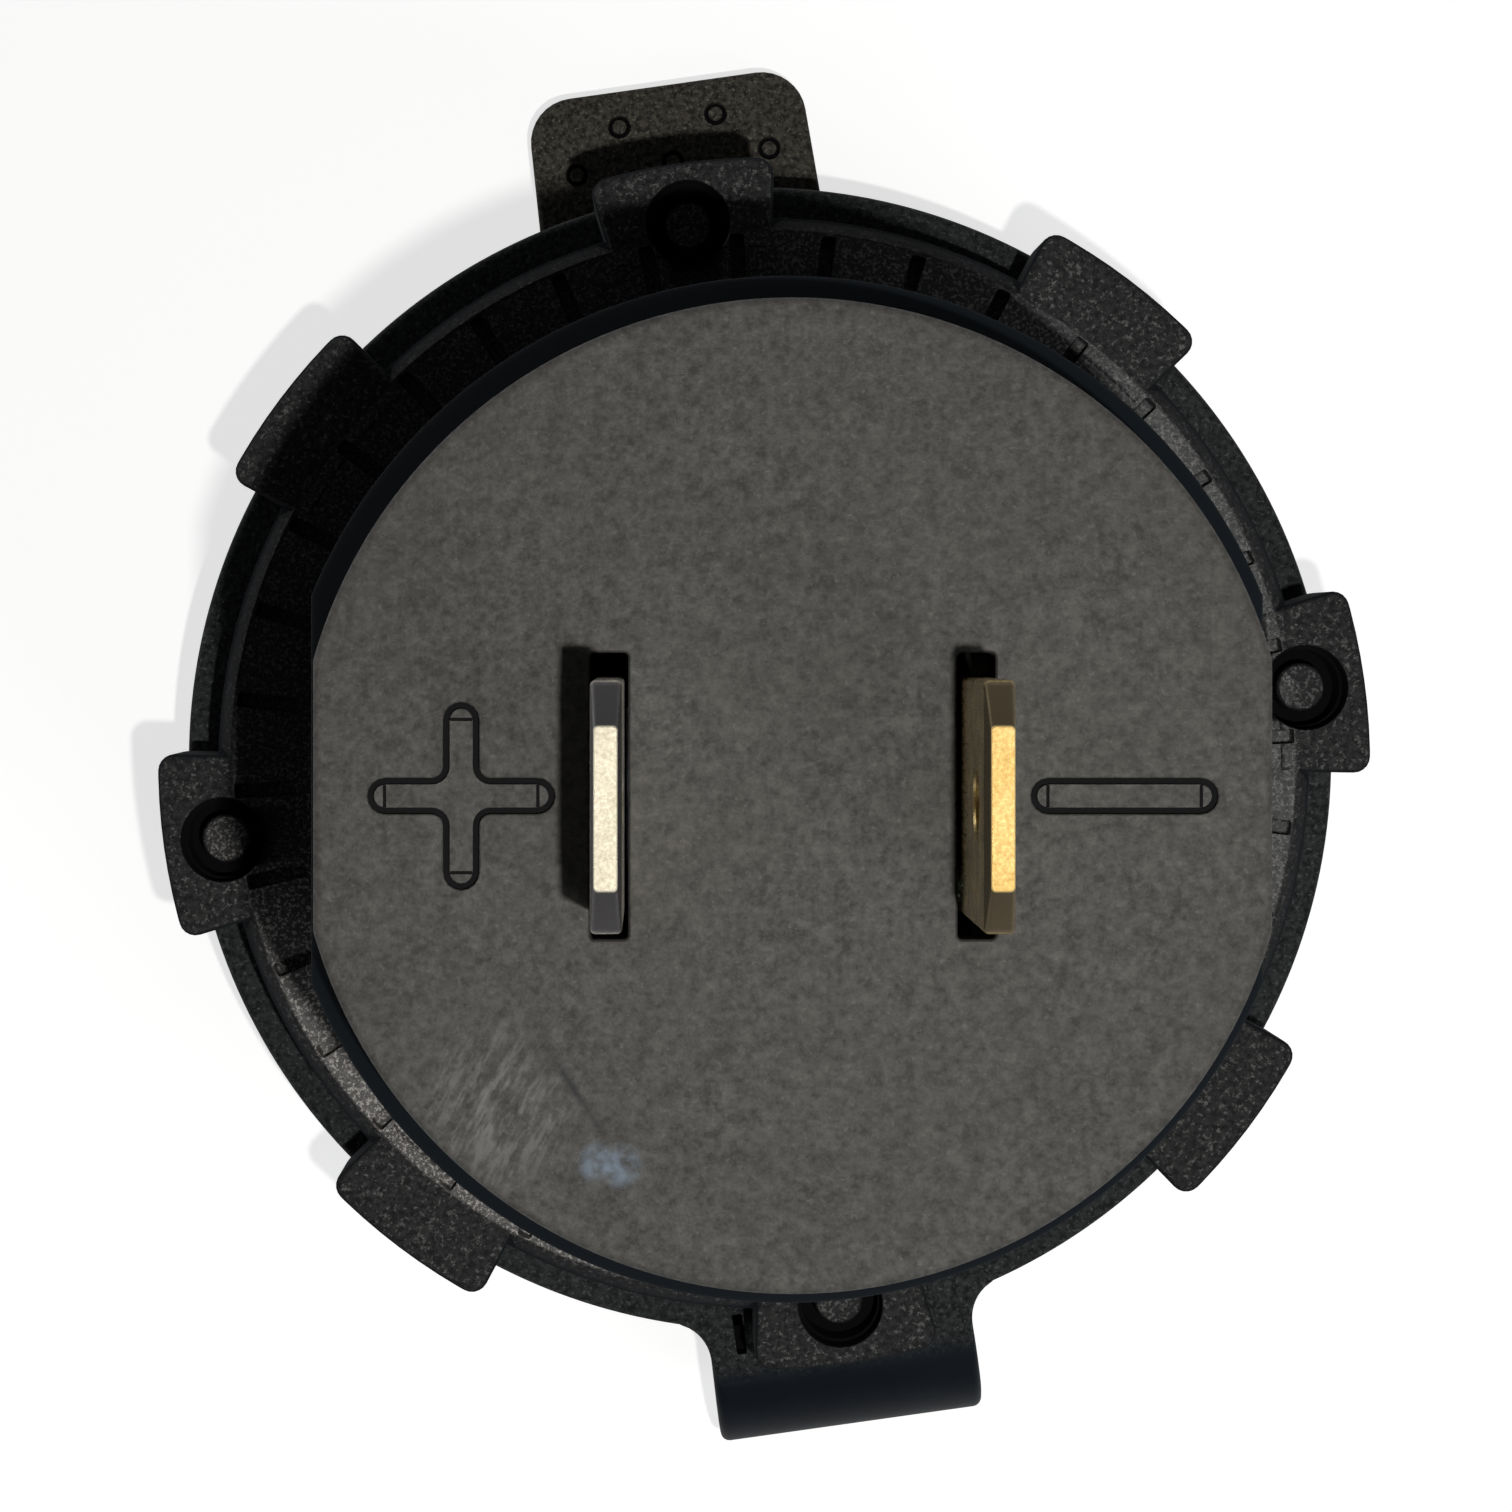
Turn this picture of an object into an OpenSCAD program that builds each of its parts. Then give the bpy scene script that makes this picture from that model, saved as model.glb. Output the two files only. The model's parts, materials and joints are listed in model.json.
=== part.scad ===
// Round panel-mount USB power socket: threaded double-D barrel, lugged ring nut,
// two blade terminals at the back and a hinged rubber dust cap over the front.
// The barrel axis is Z. The cap's front face lies on Z = 0 and the blades point up.

/* [Barrel and flange] */
// Diameter of the threaded barrel
barrel_d = 28.5; // [28:0.5:36]
// Distance across the two flats of the barrel
barrel_flats = 26.4; // [26:0.1:27]
// Length of the barrel from the back of the flange to its rear end
barrel_len = 29.8; // [28:0.2:45]
// Bore of the barrel
bore_d = 24.4; // [24:0.1:24.6]
// Diameter of the front flange
flange_d = 40; // [38:0.5:52]
// Thickness of the front flange
flange_t = 3.6; // [3.4:0.1:6]
// Diameter of the recess in the flange that the cap's skirt enters
recess_d = 30; // [29:0.5:32]
// Depth of that recess
recess_depth = 2.0; // [1.8:0.1:2.2]

/* [Ring nut] */
// Thickness of the ring nut
nut_t = 4.4; // [3:0.1:8]
// Radial thickness of the nut's body, from the thread out
nut_wall = 4.0; // [3.6:0.1:6]
// How far the lugs stand out of the nut's body
lug_h = 2.0; // [1:0.1:4]
// Number of lugs
lug_count = 8; // [4:4:12]
// Angle that each lug covers
lug_angle = 17.8; // [12:0.1:22]
// Lead of the thread
thread_pitch = 2.0; // [1:0.25:3]
// Diameter of the spanner sockets in every second lug
spanner_d = 2.8; // [2:0.1:3]
// Usable depth of the spanner sockets
spanner_depth = 1.0; // [0.5:0.1:1.5]
// Turn of the nut and the cap about the axis, measured from the flats
clocking = 8; // [-22:1:22]
// Thickness of the keyed slip washer under the nut
washer_t = 0.6; // [0.4:0.1:1.5]

/* [Rear cover] */
// Height of the rear cover above the end of the barrel
cover_h = 3.9; // [3:0.1:8]
// Thickness of the rear cover's end plate
cover_plate_t = 1.6; // [1.2:0.1:2.4]
// How far the cover's side lies inside the barrel's side
cover_step = 1.0; // [0.6:0.1:1.2]
// Chamfer round the cover's rear edge
cover_chamfer = 0.25; // [0.1:0.05:0.5]
// Depth of the polarity marks
mark_depth = 0.25; // [0.1:0.05:0.6]
// Length of the arms of the polarity marks
mark_l = 5.0; // [3:0.1:5.2]
// Stroke of the polarity marks
mark_w = 0.97; // [0.6:0.01:1.6]

/* [Terminals] */
// Distance between the two blades
blade_pitch = 9.75; // [8:0.05:11]
// Width of a blade
blade_w = 6.3; // [4.8:0.1:6.3]
// Thickness of a blade
blade_t = 0.8; // [0.5:0.1:1]
// Length of a blade outside the cover
blade_l = 8.0; // [6:0.1:12]
// Diameter of the latching hole in a blade
blade_hole_d = 1.8; // [1.4:0.1:2.2]

/* [Dust cap] */
// Thickness of the cap's disc
lid_t = 2.0; // [1.2:0.1:3]
// Thickness of the cap's ring behind the flange
cap_ring_t = 1.3; // [0.8:0.1:2]
// Width of the hinge strap
strap_w = 9.2; // [6:0.1:12]
// Thickness of the hinge strap
strap_t = 1.3; // [0.8:0.1:1.3]
// Width of the pull tab
tab_w = 10.1; // [6:0.1:14]
// How far the pull tab stands out of the disc
tab_l = 4.4; // [3:0.1:8]

/* [USB ports and boards] */
// Outside width of a port's shell
port_w = 13.2; // [13:0.1:13.4]
// Outside height of a port's shell
port_h = 5.8; // [5.6:0.1:6]
// Depth of a port's shell
port_l = 14.4; // [13:0.1:15]
// Distance between the two ports' centres
port_pitch = 8.6; // [7.6:0.1:9]
// Thickness of a circuit board
board_t = 1.2; // [0.8:0.1:1.6]
// Height of an electrolytic capacitor
capacitor_h = 7.0; // [5:0.1:7.4]

/* [Clearances] */
// Radial running clearance of the nut on the barrel
run_gap = 0.08; // [0.02:0.01:0.1]
// Clearance round the cap's ring and the slip washer
slide_gap = 0.2; // [0.1:0.05:0.3]
// Clearance of a piece seated in another
seat_gap = 0.1; // [0.05:0.05:0.2]
// Clearance between the closed cap and the flange
cap_gap = 0.2; // [0.1:0.05:0.4]

/* [Hidden] */
$fn = 96;

// A cut runs this far past the face that it opens
cut = 1;

// Radii
barrel_r = barrel_d / 2;
flat_x = barrel_flats / 2;
bore_r = bore_d / 2;
flange_r = flange_d / 2;
recess_r = recess_d / 2;
nut_bore_r = barrel_r + run_gap;
nut_r = nut_bore_r + nut_wall;
lug_r = nut_r + lug_h;

// Heights, from the cap's front face up
flange_z0 = lid_t + cap_gap;
flange_z1 = flange_z0 + flange_t;
ring_z1 = flange_z1 + cap_ring_t;
washer_z1 = ring_z1 + washer_t;
nut_z1 = washer_z1 + nut_t;
barrel_z1 = flange_z1 + barrel_len;
cover_z1 = barrel_z1 + cover_h;
blade_z1 = cover_z1 + blade_l;

// Flange and barrel
flange_round = 1.2;
barrel_chamfer = 0.6;
round_steps = 8;

// Front face plate, seated in a counterbore of the flange
plate_z0 = flange_z0 + recess_depth;
plate_t = 1.2;
plate_z1 = plate_z0 + plate_t;
plate_ledge = 1.5;
plate_seat_r = bore_r + plate_ledge;
plate_skirt_t = 0.9;
plate_skirt_h = 1.8;

// USB ports: shells stand on the port board and end just behind the face
shell_t = 0.38;
shell_inset = 0.3;
shell_z0 = plate_z0 + shell_inset;
shell_z1 = shell_z0 + port_l;
port_y = port_pitch / 2;
aperture_gap = 0.15;
tongue_w = 11.1;
tongue_t = 1.84;
tongue_y = 0.95;
tongue_inset = 0.9;
tongue_z0 = shell_z0 + tongue_inset;
tongue_block_l = 4.6;
contact_w = 1.0;
contact_t = 0.25;
contact_x = [-3.5, -1, 1, 3.5];
shell_leg_w = 2.0;
shell_leg_l = 2.0;
shell_leg_y = 1.4;

// Port board and what stands on it
port_board_z0 = shell_z1;
port_board_z1 = port_board_z0 + board_t;
board_gap = 0.6;
board_r = bore_r - board_gap;
boss_r = 1.9;
boss_x = board_r - boss_r;
screw_r = 0.95;
screw_head_r = 1.7;
screw_head_h = 1.2;
screw_l = 8;
screw_slot_w = 0.4;
light_r = 0.9;
led_r = 1.35;
led_h = 4.2;
led_rim_r = 1.5;
led_rim_h = 0.8;
led_inset = 0.35;
light_y = board_r - led_rim_r - led_inset;
chip_w = 5.0;
chip_d = 3.9;
chip_h = 1.5;
chip_y = 3.6;
chip_leg_w = 0.45;
chip_leg_pitch = 1.27;
chip_leg_out = 0.95;
chip_leg_t = 0.25;

// Rear cover: a cup with a plug that snaps into the barrel
cover_r = barrel_r - cover_step;
cover_flat_step = 0.45;
cover_flat_x = flat_x - cover_flat_step;
plug_r = bore_r - seat_gap;
plug_wall = 1.1;
plug_l = 3.0;
snap_drop = 1.6;
snap_z = barrel_z1 - snap_drop;
snap_h = 0.8;
snap_out = 0.2;
key_w = 2.4;
key_h = 1.5;
key_out = 0.7;
key_r = bore_r + key_out;
slot_room_l = 1.3;
slot_room_w = 0.2;
slot_l = blade_w + slot_room_l;
slot_w = blade_t + slot_room_w;
mark_margin = 0.93;
mark_x = blade_pitch / 2 + slot_w / 2 + mark_margin + mark_l / 2;

// Blade terminals
tip_flat = 4.0;
tip_bevel = 1.0;
blade_shoulder_out = 0.6;
blade_shoulder_w = slot_l + 2 * blade_shoulder_out;
blade_shoulder_h = 1.0;
blade_tail_w = 2.4;
blade_hole_from_tip = 3.3;
blade_hole_z = blade_z1 - blade_hole_from_tip;

// Power board, held by the blade tails and the header
power_board_drop = 4.4;
power_board_z1 = barrel_z1 - power_board_drop;
power_board_z0 = power_board_z1 - board_t;
blade_tail_out = 0.9;
blade_tail_z0 = power_board_z0 - blade_tail_out;
plug_z0 = barrel_z1 - plug_l;
pin_w = 0.64;
pin_count = 4;
pin_pitch = 2.54;
pin_stub = 0.8;
header_w = 2.4;
pin_y = header_w - board_r;
part_gap = 0.3;
core_r = 3.5;
core_x = -5.2;
core_y = blade_tail_w / 2 + part_gap + core_r;
core_waist_r = 1.7;
core_h = 4.8;
core_flange_h = 0.9;
winding_r = 3.0;
capacitor_r = 3.05;
capacitor_foot = 0.8;
capacitor_foot_w = 6.2;
capacitor_x = 4.6;
capacitor_y = blade_tail_w / 2 + part_gap + capacitor_foot_w / 2;
diode_y = -6.4;
diode_size = [4.3, 2.6, 2.0];
diode_pad = 0.5;
fuse_y = 6.4;
fuse_size = [6.0, 2.5, 2.4];
fuse_end = 1.2;
solder_h = 0.7;
solder_w = 1.0;
pad_lift = 0.15;
pad_share = 0.7;

// Dust cap
lid_r = flange_r;
lid_round = 1.1;
skirt_gap = 0.4;
skirt_r = recess_r - skirt_gap;
skirt_wall = 1.3;
skirt_short = 0.3;
skirt_h = recess_depth - skirt_short;
cap_angle = 90 + clocking;
strap_angle = cap_angle + 180;
cap_ring_inset = 0.1;
cap_ring_r = flange_r - cap_ring_inset;
strap_z_top = (flange_z1 + ring_z1) / 2;
strap_rise = 0.4;
strap_z_low = strap_rise + strap_t / 2;
strap_bend_r = (strap_z_top - strap_z_low) / 2;
strap_bend_z = (strap_z_top + strap_z_low) / 2;
strap_root_l = 0.6;
strap_x = flange_r + strap_root_l;
strap_fillet = 1.5;
strap_flare = 0.6;
root_sink = 3;
tab_corner = 1.6;
tab_z0 = 0.5;
tab_sink = 4;
pip_r = 0.4;
pip_row_1 = [lid_r + 3.1, 1.75];
pip_row_2 = [lid_r + 1.6, 3.5];

// Ring nut details: a shallow dish inside a chamfered rim, with short radial slots
rim_chamfer = 0.45;
dish_r = nut_r - rim_chamfer;
dish_floor_w = 1.0;
dish_floor_r = nut_bore_r + dish_floor_w;
dish_depth = 0.4;
lug_sink = 0.6;
lug_root_r = dish_r - lug_sink;
slot_count = 36;
radial_slot_w = 0.5;
radial_slot_l = 2.0;
radial_slot_depth = 0.3;
radial_slot_inset = 0.1;
spanner_r = spanner_d / 2;
spanner_inset = 0.02;
spanner_pcr = nut_r - spanner_inset;
moat_step = 0.1;
moat_r = spanner_r - moat_step;
moat_w = 0.4;
moat_depth = 2.4;

// Slip washer
washer_inset = 1;
sharp = 0.01;

// ---------------------------------------------------------------- shared shapes

// A tube between two heights
module tube(r_out, r_in, z0, z1) {
    translate([0, 0, z0])
        difference() {
            cylinder(r = r_out, h = z1 - z0);
            translate([0, 0, -cut])
                cylinder(r = r_in, h = z1 - z0 + 2 * cut);
        }
}

// A rod with two flats across X and a chamfer round its top edge
module double_d(r, half_flat, z0, z1, chamfer) {
    intersection() {
        rotate_extrude()
            polygon([[0, z0], [r, z0], [r, z1 - chamfer], [r - chamfer, z1], [0, z1]]);
        rotate([90, 0, 0])
            linear_extrude(height = 2 * r + 2 * cut, center = true)
                polygon([[-half_flat, z0 - cut], [half_flat, z0 - cut],
                    [half_flat, z1 - chamfer], [half_flat - chamfer, z1],
                    [half_flat - chamfer, z1 + cut], [chamfer - half_flat, z1 + cut],
                    [chamfer - half_flat, z1], [-half_flat, z1 - chamfer]]);
    }
}

// A box centred on X and Y
module block(size_x, size_y, z0, z1) {
    translate([-size_x / 2, -size_y / 2, z0])
        cube([size_x, size_y, z1 - z0]);
}

// A flat bar with round ends, sunk into a face at z_top
module groove(length, width, z_top, depth) {
    translate([0, 0, z_top - depth]) {
        block(length - width, width, 0, depth + cut);
        for (side = [-1, 1])
            translate([side * (length - width) / 2, 0, 0])
                cylinder(d = width, h = depth + cut);
    }
}

// A sector of a disc, centred on +X
module sector(r, angle, z0, z1) {
    far = r / cos(angle / 2) + cut;
    intersection() {
        translate([0, 0, z0])
            cylinder(r = r, h = z1 - z0);
        translate([0, 0, z0 - cut])
            linear_extrude(height = z1 - z0 + 2 * cut)
                polygon([[0, 0], [far * cos(angle / 2), -far * sin(angle / 2)],
                    [far * cos(angle / 2), far * sin(angle / 2)]]);
    }
}

// ---------------------------------------------------------------- socket body

// Points of a quarter round from the outside of a disc to its lower face
function edge_round(r, z, radius) =
    [for (i = [0 : round_steps])
        [r - radius + radius * cos(90 * i / round_steps), z + radius - radius * sin(90 * i / round_steps)]];

module flange() {
    rotate_extrude()
        polygon(concat([[0, flange_z1], [flange_r, flange_z1]],
            edge_round(flange_r, flange_z0, flange_round), [[0, flange_z0]]));
}

module housing() {
    color("#17181a")
    difference() {
        union() {
            flange();
            double_d(barrel_r, flat_x, flange_z1 - flange_t / 2, barrel_z1, barrel_chamfer);
        }
        translate([0, 0, flange_z0 - cut])
            cylinder(r = recess_r, h = recess_depth + cut);
        translate([0, 0, plate_z0 - cut])
            cylinder(r = plate_seat_r, h = plate_t + cut);
        translate([0, 0, plate_z0])
            cylinder(r = bore_r, h = barrel_z1 - plate_z0 + cut);
        translate([0, 0, snap_z - seat_gap])
            cylinder(r = plug_r + snap_out + seat_gap, h = snap_h + 2 * seat_gap);
        translate([0, bore_r, 0])
            block(key_w + 2 * seat_gap, 2 * (key_r - bore_r) + 2 * seat_gap,
                barrel_z1 - key_h - seat_gap, barrel_z1 + cut);
    }
}

// Front face plate with the port apertures, the light pipe's hole and two screw bosses
module face_plate() {
    color("#1b1c1f")
    difference() {
        union() {
            translate([0, 0, plate_z0])
                cylinder(r = plate_seat_r - seat_gap, h = plate_t);
            tube(bore_r - seat_gap, bore_r - seat_gap - plate_skirt_t,
                plate_z1 - plate_t / 2, plate_z1 + plate_skirt_h);
            for (side = [-1, 1])
                translate([side * boss_x, 0, plate_z1 - plate_t / 2])
                    cylinder(r = boss_r, h = port_board_z0 - plate_z1 + plate_t / 2);
        }
        for (side = [-1, 1])
            translate([0, side * port_y, 0])
                block(port_w + 2 * aperture_gap, port_h + 2 * aperture_gap, plate_z0 - cut, plate_z1 + cut);
        for (side = [-1, 1])
            translate([side * boss_x, 0, port_board_z1 - screw_l - seat_gap])
                cylinder(r = screw_r + seat_gap / 2, h = screw_l + cut);
        translate([0, light_y, plate_z0 - cut])
            cylinder(r = light_r + seat_gap, h = plate_t + 2 * cut);
    }
}

// Clear rod that carries the indicator's light to the face
module light_pipe() {
    color("#dfe8ee")
    translate([0, light_y, plate_z0])
        cylinder(r = light_r, h = port_board_z0 - led_h - seat_gap - plate_z0);
}

// ---------------------------------------------------------------- USB ports

// Folded steel shell of one port, with legs that pass through the board
module usb_shell(y) {
    color("#b9bcc0")
    translate([0, y, 0]) {
        difference() {
            block(port_w, port_h, shell_z0, shell_z1);
            block(port_w - 2 * shell_t, port_h - 2 * shell_t, shell_z0 - cut, shell_z1 + cut);
        }
        for (side = [-1, 1])
            translate([side * (port_w - shell_t) / 2, shell_leg_y, 0])
                block(shell_t, shell_leg_w, shell_z1 - cut, shell_z1 + shell_leg_l);
    }
}

// Plastic tongue and rear block of one port
module usb_tongue(y) {
    color("#e9e9e6")
    translate([0, y, 0]) {
        block(port_w - 2 * shell_t - 2 * seat_gap, port_h - 2 * shell_t - 2 * seat_gap,
            shell_z1 - tongue_block_l, shell_z1);
        translate([0, tongue_y, 0])
            block(tongue_w, tongue_t, tongue_z0, shell_z1 - tongue_block_l + cut);
    }
}

// The four contacts that lie on one tongue
module usb_contacts(y) {
    color("#c8a14a")
    for (x = contact_x)
        translate([x, y + tongue_y - tongue_t / 2 - contact_t / 2, 0])
            block(contact_w, contact_t, tongue_z0 + contact_w, shell_z1 - tongue_block_l);
}

// ---------------------------------------------------------------- boards

// Clearance holes for the header's pins
module pin_holes(z0, z1) {
    for (i = [0 : pin_count - 1])
        translate([(i - (pin_count - 1) / 2) * pin_pitch, pin_y, 0])
            block(pin_w + 2 * seat_gap, pin_w + 2 * seat_gap, z0, z1);
}

module port_board() {
    color("#1d5a3a")
    difference() {
        translate([0, 0, port_board_z0])
            cylinder(r = board_r, h = board_t);
        for (side = [-1, 1])
            translate([side * boss_x, 0, port_board_z0 - cut])
                cylinder(r = screw_r + seat_gap, h = board_t + 2 * cut);
        for (y = [-port_y, port_y], side = [-1, 1])
            translate([side * (port_w - shell_t) / 2, y + shell_leg_y, 0])
                block(shell_t + 2 * seat_gap, shell_leg_w + 2 * seat_gap,
                    port_board_z0 - cut, port_board_z1 + cut);
        pin_holes(port_board_z0 - cut, port_board_z1 + cut);
    }
}

// The two screws that hold the port board to the face plate's bosses
module board_screws() {
    color("#8d8f92")
    for (side = [-1, 1])
        translate([side * boss_x, 0, port_board_z1])
            difference() {
                union() {
                    cylinder(r = screw_head_r, h = screw_head_h);
                    translate([0, 0, -screw_l])
                        cylinder(r = screw_r, h = screw_l + cut / 2);
                }
                block(2 * screw_head_r + cut, screw_slot_w, screw_head_h / 2, screw_head_h + cut);
            }
}

module indicator_led() {
    color("#9ad0ff")
    translate([0, light_y, port_board_z0 - led_h]) {
        translate([0, 0, led_h - led_rim_h])
            cylinder(r = led_rim_r, h = led_rim_h);
        cylinder(r = led_r, h = led_h);
    }
}

// Voltage converter in an eight-leg package
module converter_chip() {
    color("#202124")
    translate([0, chip_y, 0]) {
        block(chip_w, chip_d, port_board_z1 + chip_leg_t, port_board_z1 + chip_leg_t + chip_h);
        for (i = [0 : 3])
            translate([(i - 1.5) * chip_leg_pitch, 0, 0])
                block(chip_leg_w, chip_d + 2 * chip_leg_out, port_board_z1, port_board_z1 + 2 * chip_leg_t);
    }
}

// Insulator that spaces the two boards
module header_block() {
    color("#101114")
    difference() {
        translate([0, pin_y, 0])
            block(pin_count * pin_pitch, header_w, port_board_z1, power_board_z0);
        pin_holes(port_board_z1 - cut, power_board_z0 + cut);
    }
}

module header_pins() {
    color("#cfae5e")
    for (i = [0 : pin_count - 1])
        translate([(i - (pin_count - 1) / 2) * pin_pitch, pin_y, 0])
            block(pin_w, pin_w, port_board_z0 - pin_stub, power_board_z1 + pin_stub);
}

module power_board() {
    color("#1d5a3a")
    difference() {
        translate([0, 0, power_board_z0])
            cylinder(r = board_r, h = board_t);
        for (side = [-1, 1])
            translate([side * blade_pitch / 2, 0, 0])
                block(blade_t + 2 * seat_gap, blade_tail_w + 2 * seat_gap,
                    power_board_z0 - cut, power_board_z1 + cut);
        pin_holes(power_board_z0 - cut, power_board_z1 + cut);
    }
}

// Ferrite drum under the power board
module inductor_core() {
    color("#3a3b3e")
    translate([core_x, core_y, power_board_z0 - core_h]) {
        cylinder(r = core_r, h = core_flange_h);
        cylinder(r = core_waist_r, h = core_h);
        translate([0, 0, core_h - core_flange_h])
            cylinder(r = core_r, h = core_flange_h);
    }
}

module inductor_winding() {
    color("#b5713a")
    translate([core_x, core_y, 0])
        tube(winding_r, core_waist_r + seat_gap / 2,
            power_board_z0 - core_h + core_flange_h + seat_gap / 2,
            power_board_z0 - core_flange_h - seat_gap / 2);
}

// Electrolytic capacitor that hangs under the power board on its square foot
module capacitor(y) {
    color("#c3c6ca")
    translate([capacitor_x, y, power_board_z0 - capacitor_h]) {
        cylinder(r = capacitor_r, h = capacitor_h - capacitor_foot / 2);
        block(capacitor_foot_w, capacitor_foot_w, capacitor_h - capacitor_foot, capacitor_h);
    }
}

// A moulded two-pad part that lies on the power board
module pad_part(size, y, end_cap) {
    translate([0, y, 0]) {
        block(size[0], size[1], power_board_z1 + pad_lift, power_board_z1 + size[2]);
        for (side = [-1, 1])
            translate([side * (size[0] - end_cap) / 2, 0, 0])
                block(end_cap, size[1] * pad_share, power_board_z1, power_board_z1 + size[2] / 2);
    }
}

module rectifier_diode() {
    color("#202124") pad_part(diode_size, diode_y, diode_pad);
}

module input_fuse() {
    color("#e6e2d6") pad_part(fuse_size, fuse_y, fuse_end);
}

// Solder that joins each blade's tail to the board
module solder_joints() {
    color("#a9adb1")
    for (side = [-1, 1])
        translate([side * blade_pitch / 2, 0, 0])
            difference() {
                block(blade_t + 2 * solder_w, blade_tail_w + 2 * solder_w,
                    power_board_z1, power_board_z1 + solder_h);
                block(blade_t, blade_tail_w, power_board_z1 - cut, power_board_z1 + solder_h + cut);
            }
}

// ---------------------------------------------------------------- rear end

module rear_cover() {
    color("#4a4844")
    difference() {
        union() {
            double_d(cover_r, cover_flat_x, barrel_z1, cover_z1, cover_chamfer);
            translate([0, 0, plug_z0])
                cylinder(r = plug_r, h = plug_l + cut);
            translate([0, 0, snap_z])
                cylinder(r = plug_r + snap_out, h = snap_h);
            translate([0, bore_r, 0])
                intersection() {
                    block(key_w, 2 * (key_r - bore_r), barrel_z1 - key_h, barrel_z1 + cut);
                    translate([0, -bore_r, 0])
                        cylinder(r = key_r, h = barrel_z1 + cut);
                }
        }
        translate([0, 0, plug_z0 - cut])
            cylinder(r = plug_r - plug_wall, h = cover_z1 - cover_plate_t - plug_z0 + cut);
        for (side = [-1, 1])
            translate([side * blade_pitch / 2, 0, 0])
                block(slot_w, slot_l, cover_z1 - cover_plate_t - cut, cover_z1 + cut);
        translate([-mark_x, 0, 0]) {
            groove(mark_l, mark_w, cover_z1, mark_depth);
            rotate([0, 0, 90])
                groove(mark_l, mark_w, cover_z1, mark_depth);
        }
        translate([mark_x, 0, 0])
            groove(mark_l, mark_w, cover_z1, mark_depth);
    }
}

// Outline of a blade in the Y-Z plane: tail, shoulder that rests on the solder, blade, bevelled tip
module blade_outline() {
    shoulder_z0 = power_board_z1 + solder_h;
    shoulder_z1 = shoulder_z0 + blade_shoulder_h;
    half = [blade_tail_w / 2, blade_shoulder_w / 2, blade_w / 2, tip_flat / 2];
    polygon([[-half[0], blade_tail_z0], [half[0], blade_tail_z0],
        [half[0], shoulder_z0], [half[1], shoulder_z0],
        [half[1], shoulder_z1], [half[2], shoulder_z1],
        [half[2], blade_z1 - tip_bevel], [half[3], blade_z1],
        [-half[3], blade_z1], [-half[2], blade_z1 - tip_bevel],
        [-half[2], shoulder_z1], [-half[1], shoulder_z1],
        [-half[1], shoulder_z0], [-half[0], shoulder_z0]]);
}

module terminal(x) {
    translate([x, 0, 0])
        difference() {
            rotate([90, 0, 90])
                linear_extrude(height = blade_t, center = true)
                    blade_outline();
            translate([0, 0, blade_hole_z])
                rotate([0, 90, 0])
                    cylinder(d = blade_hole_d, h = blade_t + 2 * cut, center = true);
        }
}

module terminal_positive() {
    color("#d9dbdd") terminal(-blade_pitch / 2);
}

module terminal_negative() {
    color("#caa453") terminal(blade_pitch / 2);
}

// ---------------------------------------------------------------- nut and washer

// Spanner socket: a round hole whose floor is an island in a deeper moat
module spanner_socket() {
    translate([0, 0, nut_z1 - spanner_depth])
        cylinder(r = spanner_r, h = spanner_depth + cut);
    tube(moat_r, moat_r - moat_w, nut_z1 - moat_depth, nut_z1 - spanner_depth + cut / 2);
}

module ring_nut() {
    color("#2a2b2d")
    rotate([0, 0, clocking])
    difference() {
        union() {
            rotate_extrude()
                polygon([[nut_bore_r, washer_z1], [nut_r, washer_z1],
                    [nut_r, nut_z1 - rim_chamfer], [dish_r, nut_z1],
                    [dish_floor_r, nut_z1 - dish_depth], [nut_bore_r, nut_z1 - dish_depth]]);
            for (i = [0 : lug_count - 1])
                rotate([0, 0, i * 360 / lug_count])
                    difference() {
                        sector(lug_r, lug_angle, washer_z1, nut_z1);
                        translate([0, 0, washer_z1 - cut])
                            cylinder(r = lug_root_r, h = nut_t + 2 * cut);
                    }
        }
        for (i = [0 : slot_count - 1])
            rotate([0, 0, (i + 0.5) * 360 / slot_count])
                translate([dish_r - radial_slot_l / 2 - radial_slot_inset, 0, 0])
                    groove(radial_slot_l, radial_slot_w, nut_z1, dish_depth + radial_slot_depth);
        for (i = [0 : 2 : lug_count - 1])
            rotate([0, 0, i * 360 / lug_count])
                translate([spanner_pcr, 0, 0])
                    spanner_socket();
    }
}

// Thin washer under the nut, keyed to the barrel's flats so that it slides and can't turn
module slip_washer() {
    color("#1f2022")
    difference() {
        translate([0, 0, ring_z1])
            cylinder(r = nut_r - washer_inset, h = washer_t);
        double_d(barrel_r + slide_gap, flat_x + slide_gap, ring_z1 - cut, washer_z1 + cut, sharp);
    }
}

// ---------------------------------------------------------------- dust cap

// Ends of the strap's bend, moulded on the ring and on the disc, with flared roots
module strap_root(z0, z1) {
    translate([0, 0, z0])
        linear_extrude(height = z1 - z0) {
            translate([flange_r - root_sink, -strap_w / 2])
                square([strap_x - flange_r + root_sink, strap_w]);
            for (side = [-1, 1])
                difference() {
                    translate([flange_r - root_sink, side * (strap_w + strap_fillet) / 2 - strap_fillet / 2])
                        square([root_sink + strap_flare, strap_fillet]);
                    translate([flange_r + strap_flare, side * (strap_w / 2 + strap_fillet)])
                        circle(r = strap_fillet);
                }
        }
}

module cap_ring() {
    color("#14181d")
    difference() {
        union() {
            translate([0, 0, flange_z1])
                cylinder(r = cap_ring_r, h = cap_ring_t);
            rotate([0, 0, strap_angle])
                strap_root(flange_z1, ring_z1);
        }
        translate([0, 0, flange_z1 - cut])
            cylinder(r = barrel_r + slide_gap, h = cap_ring_t + 2 * cut);
    }
}

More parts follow.
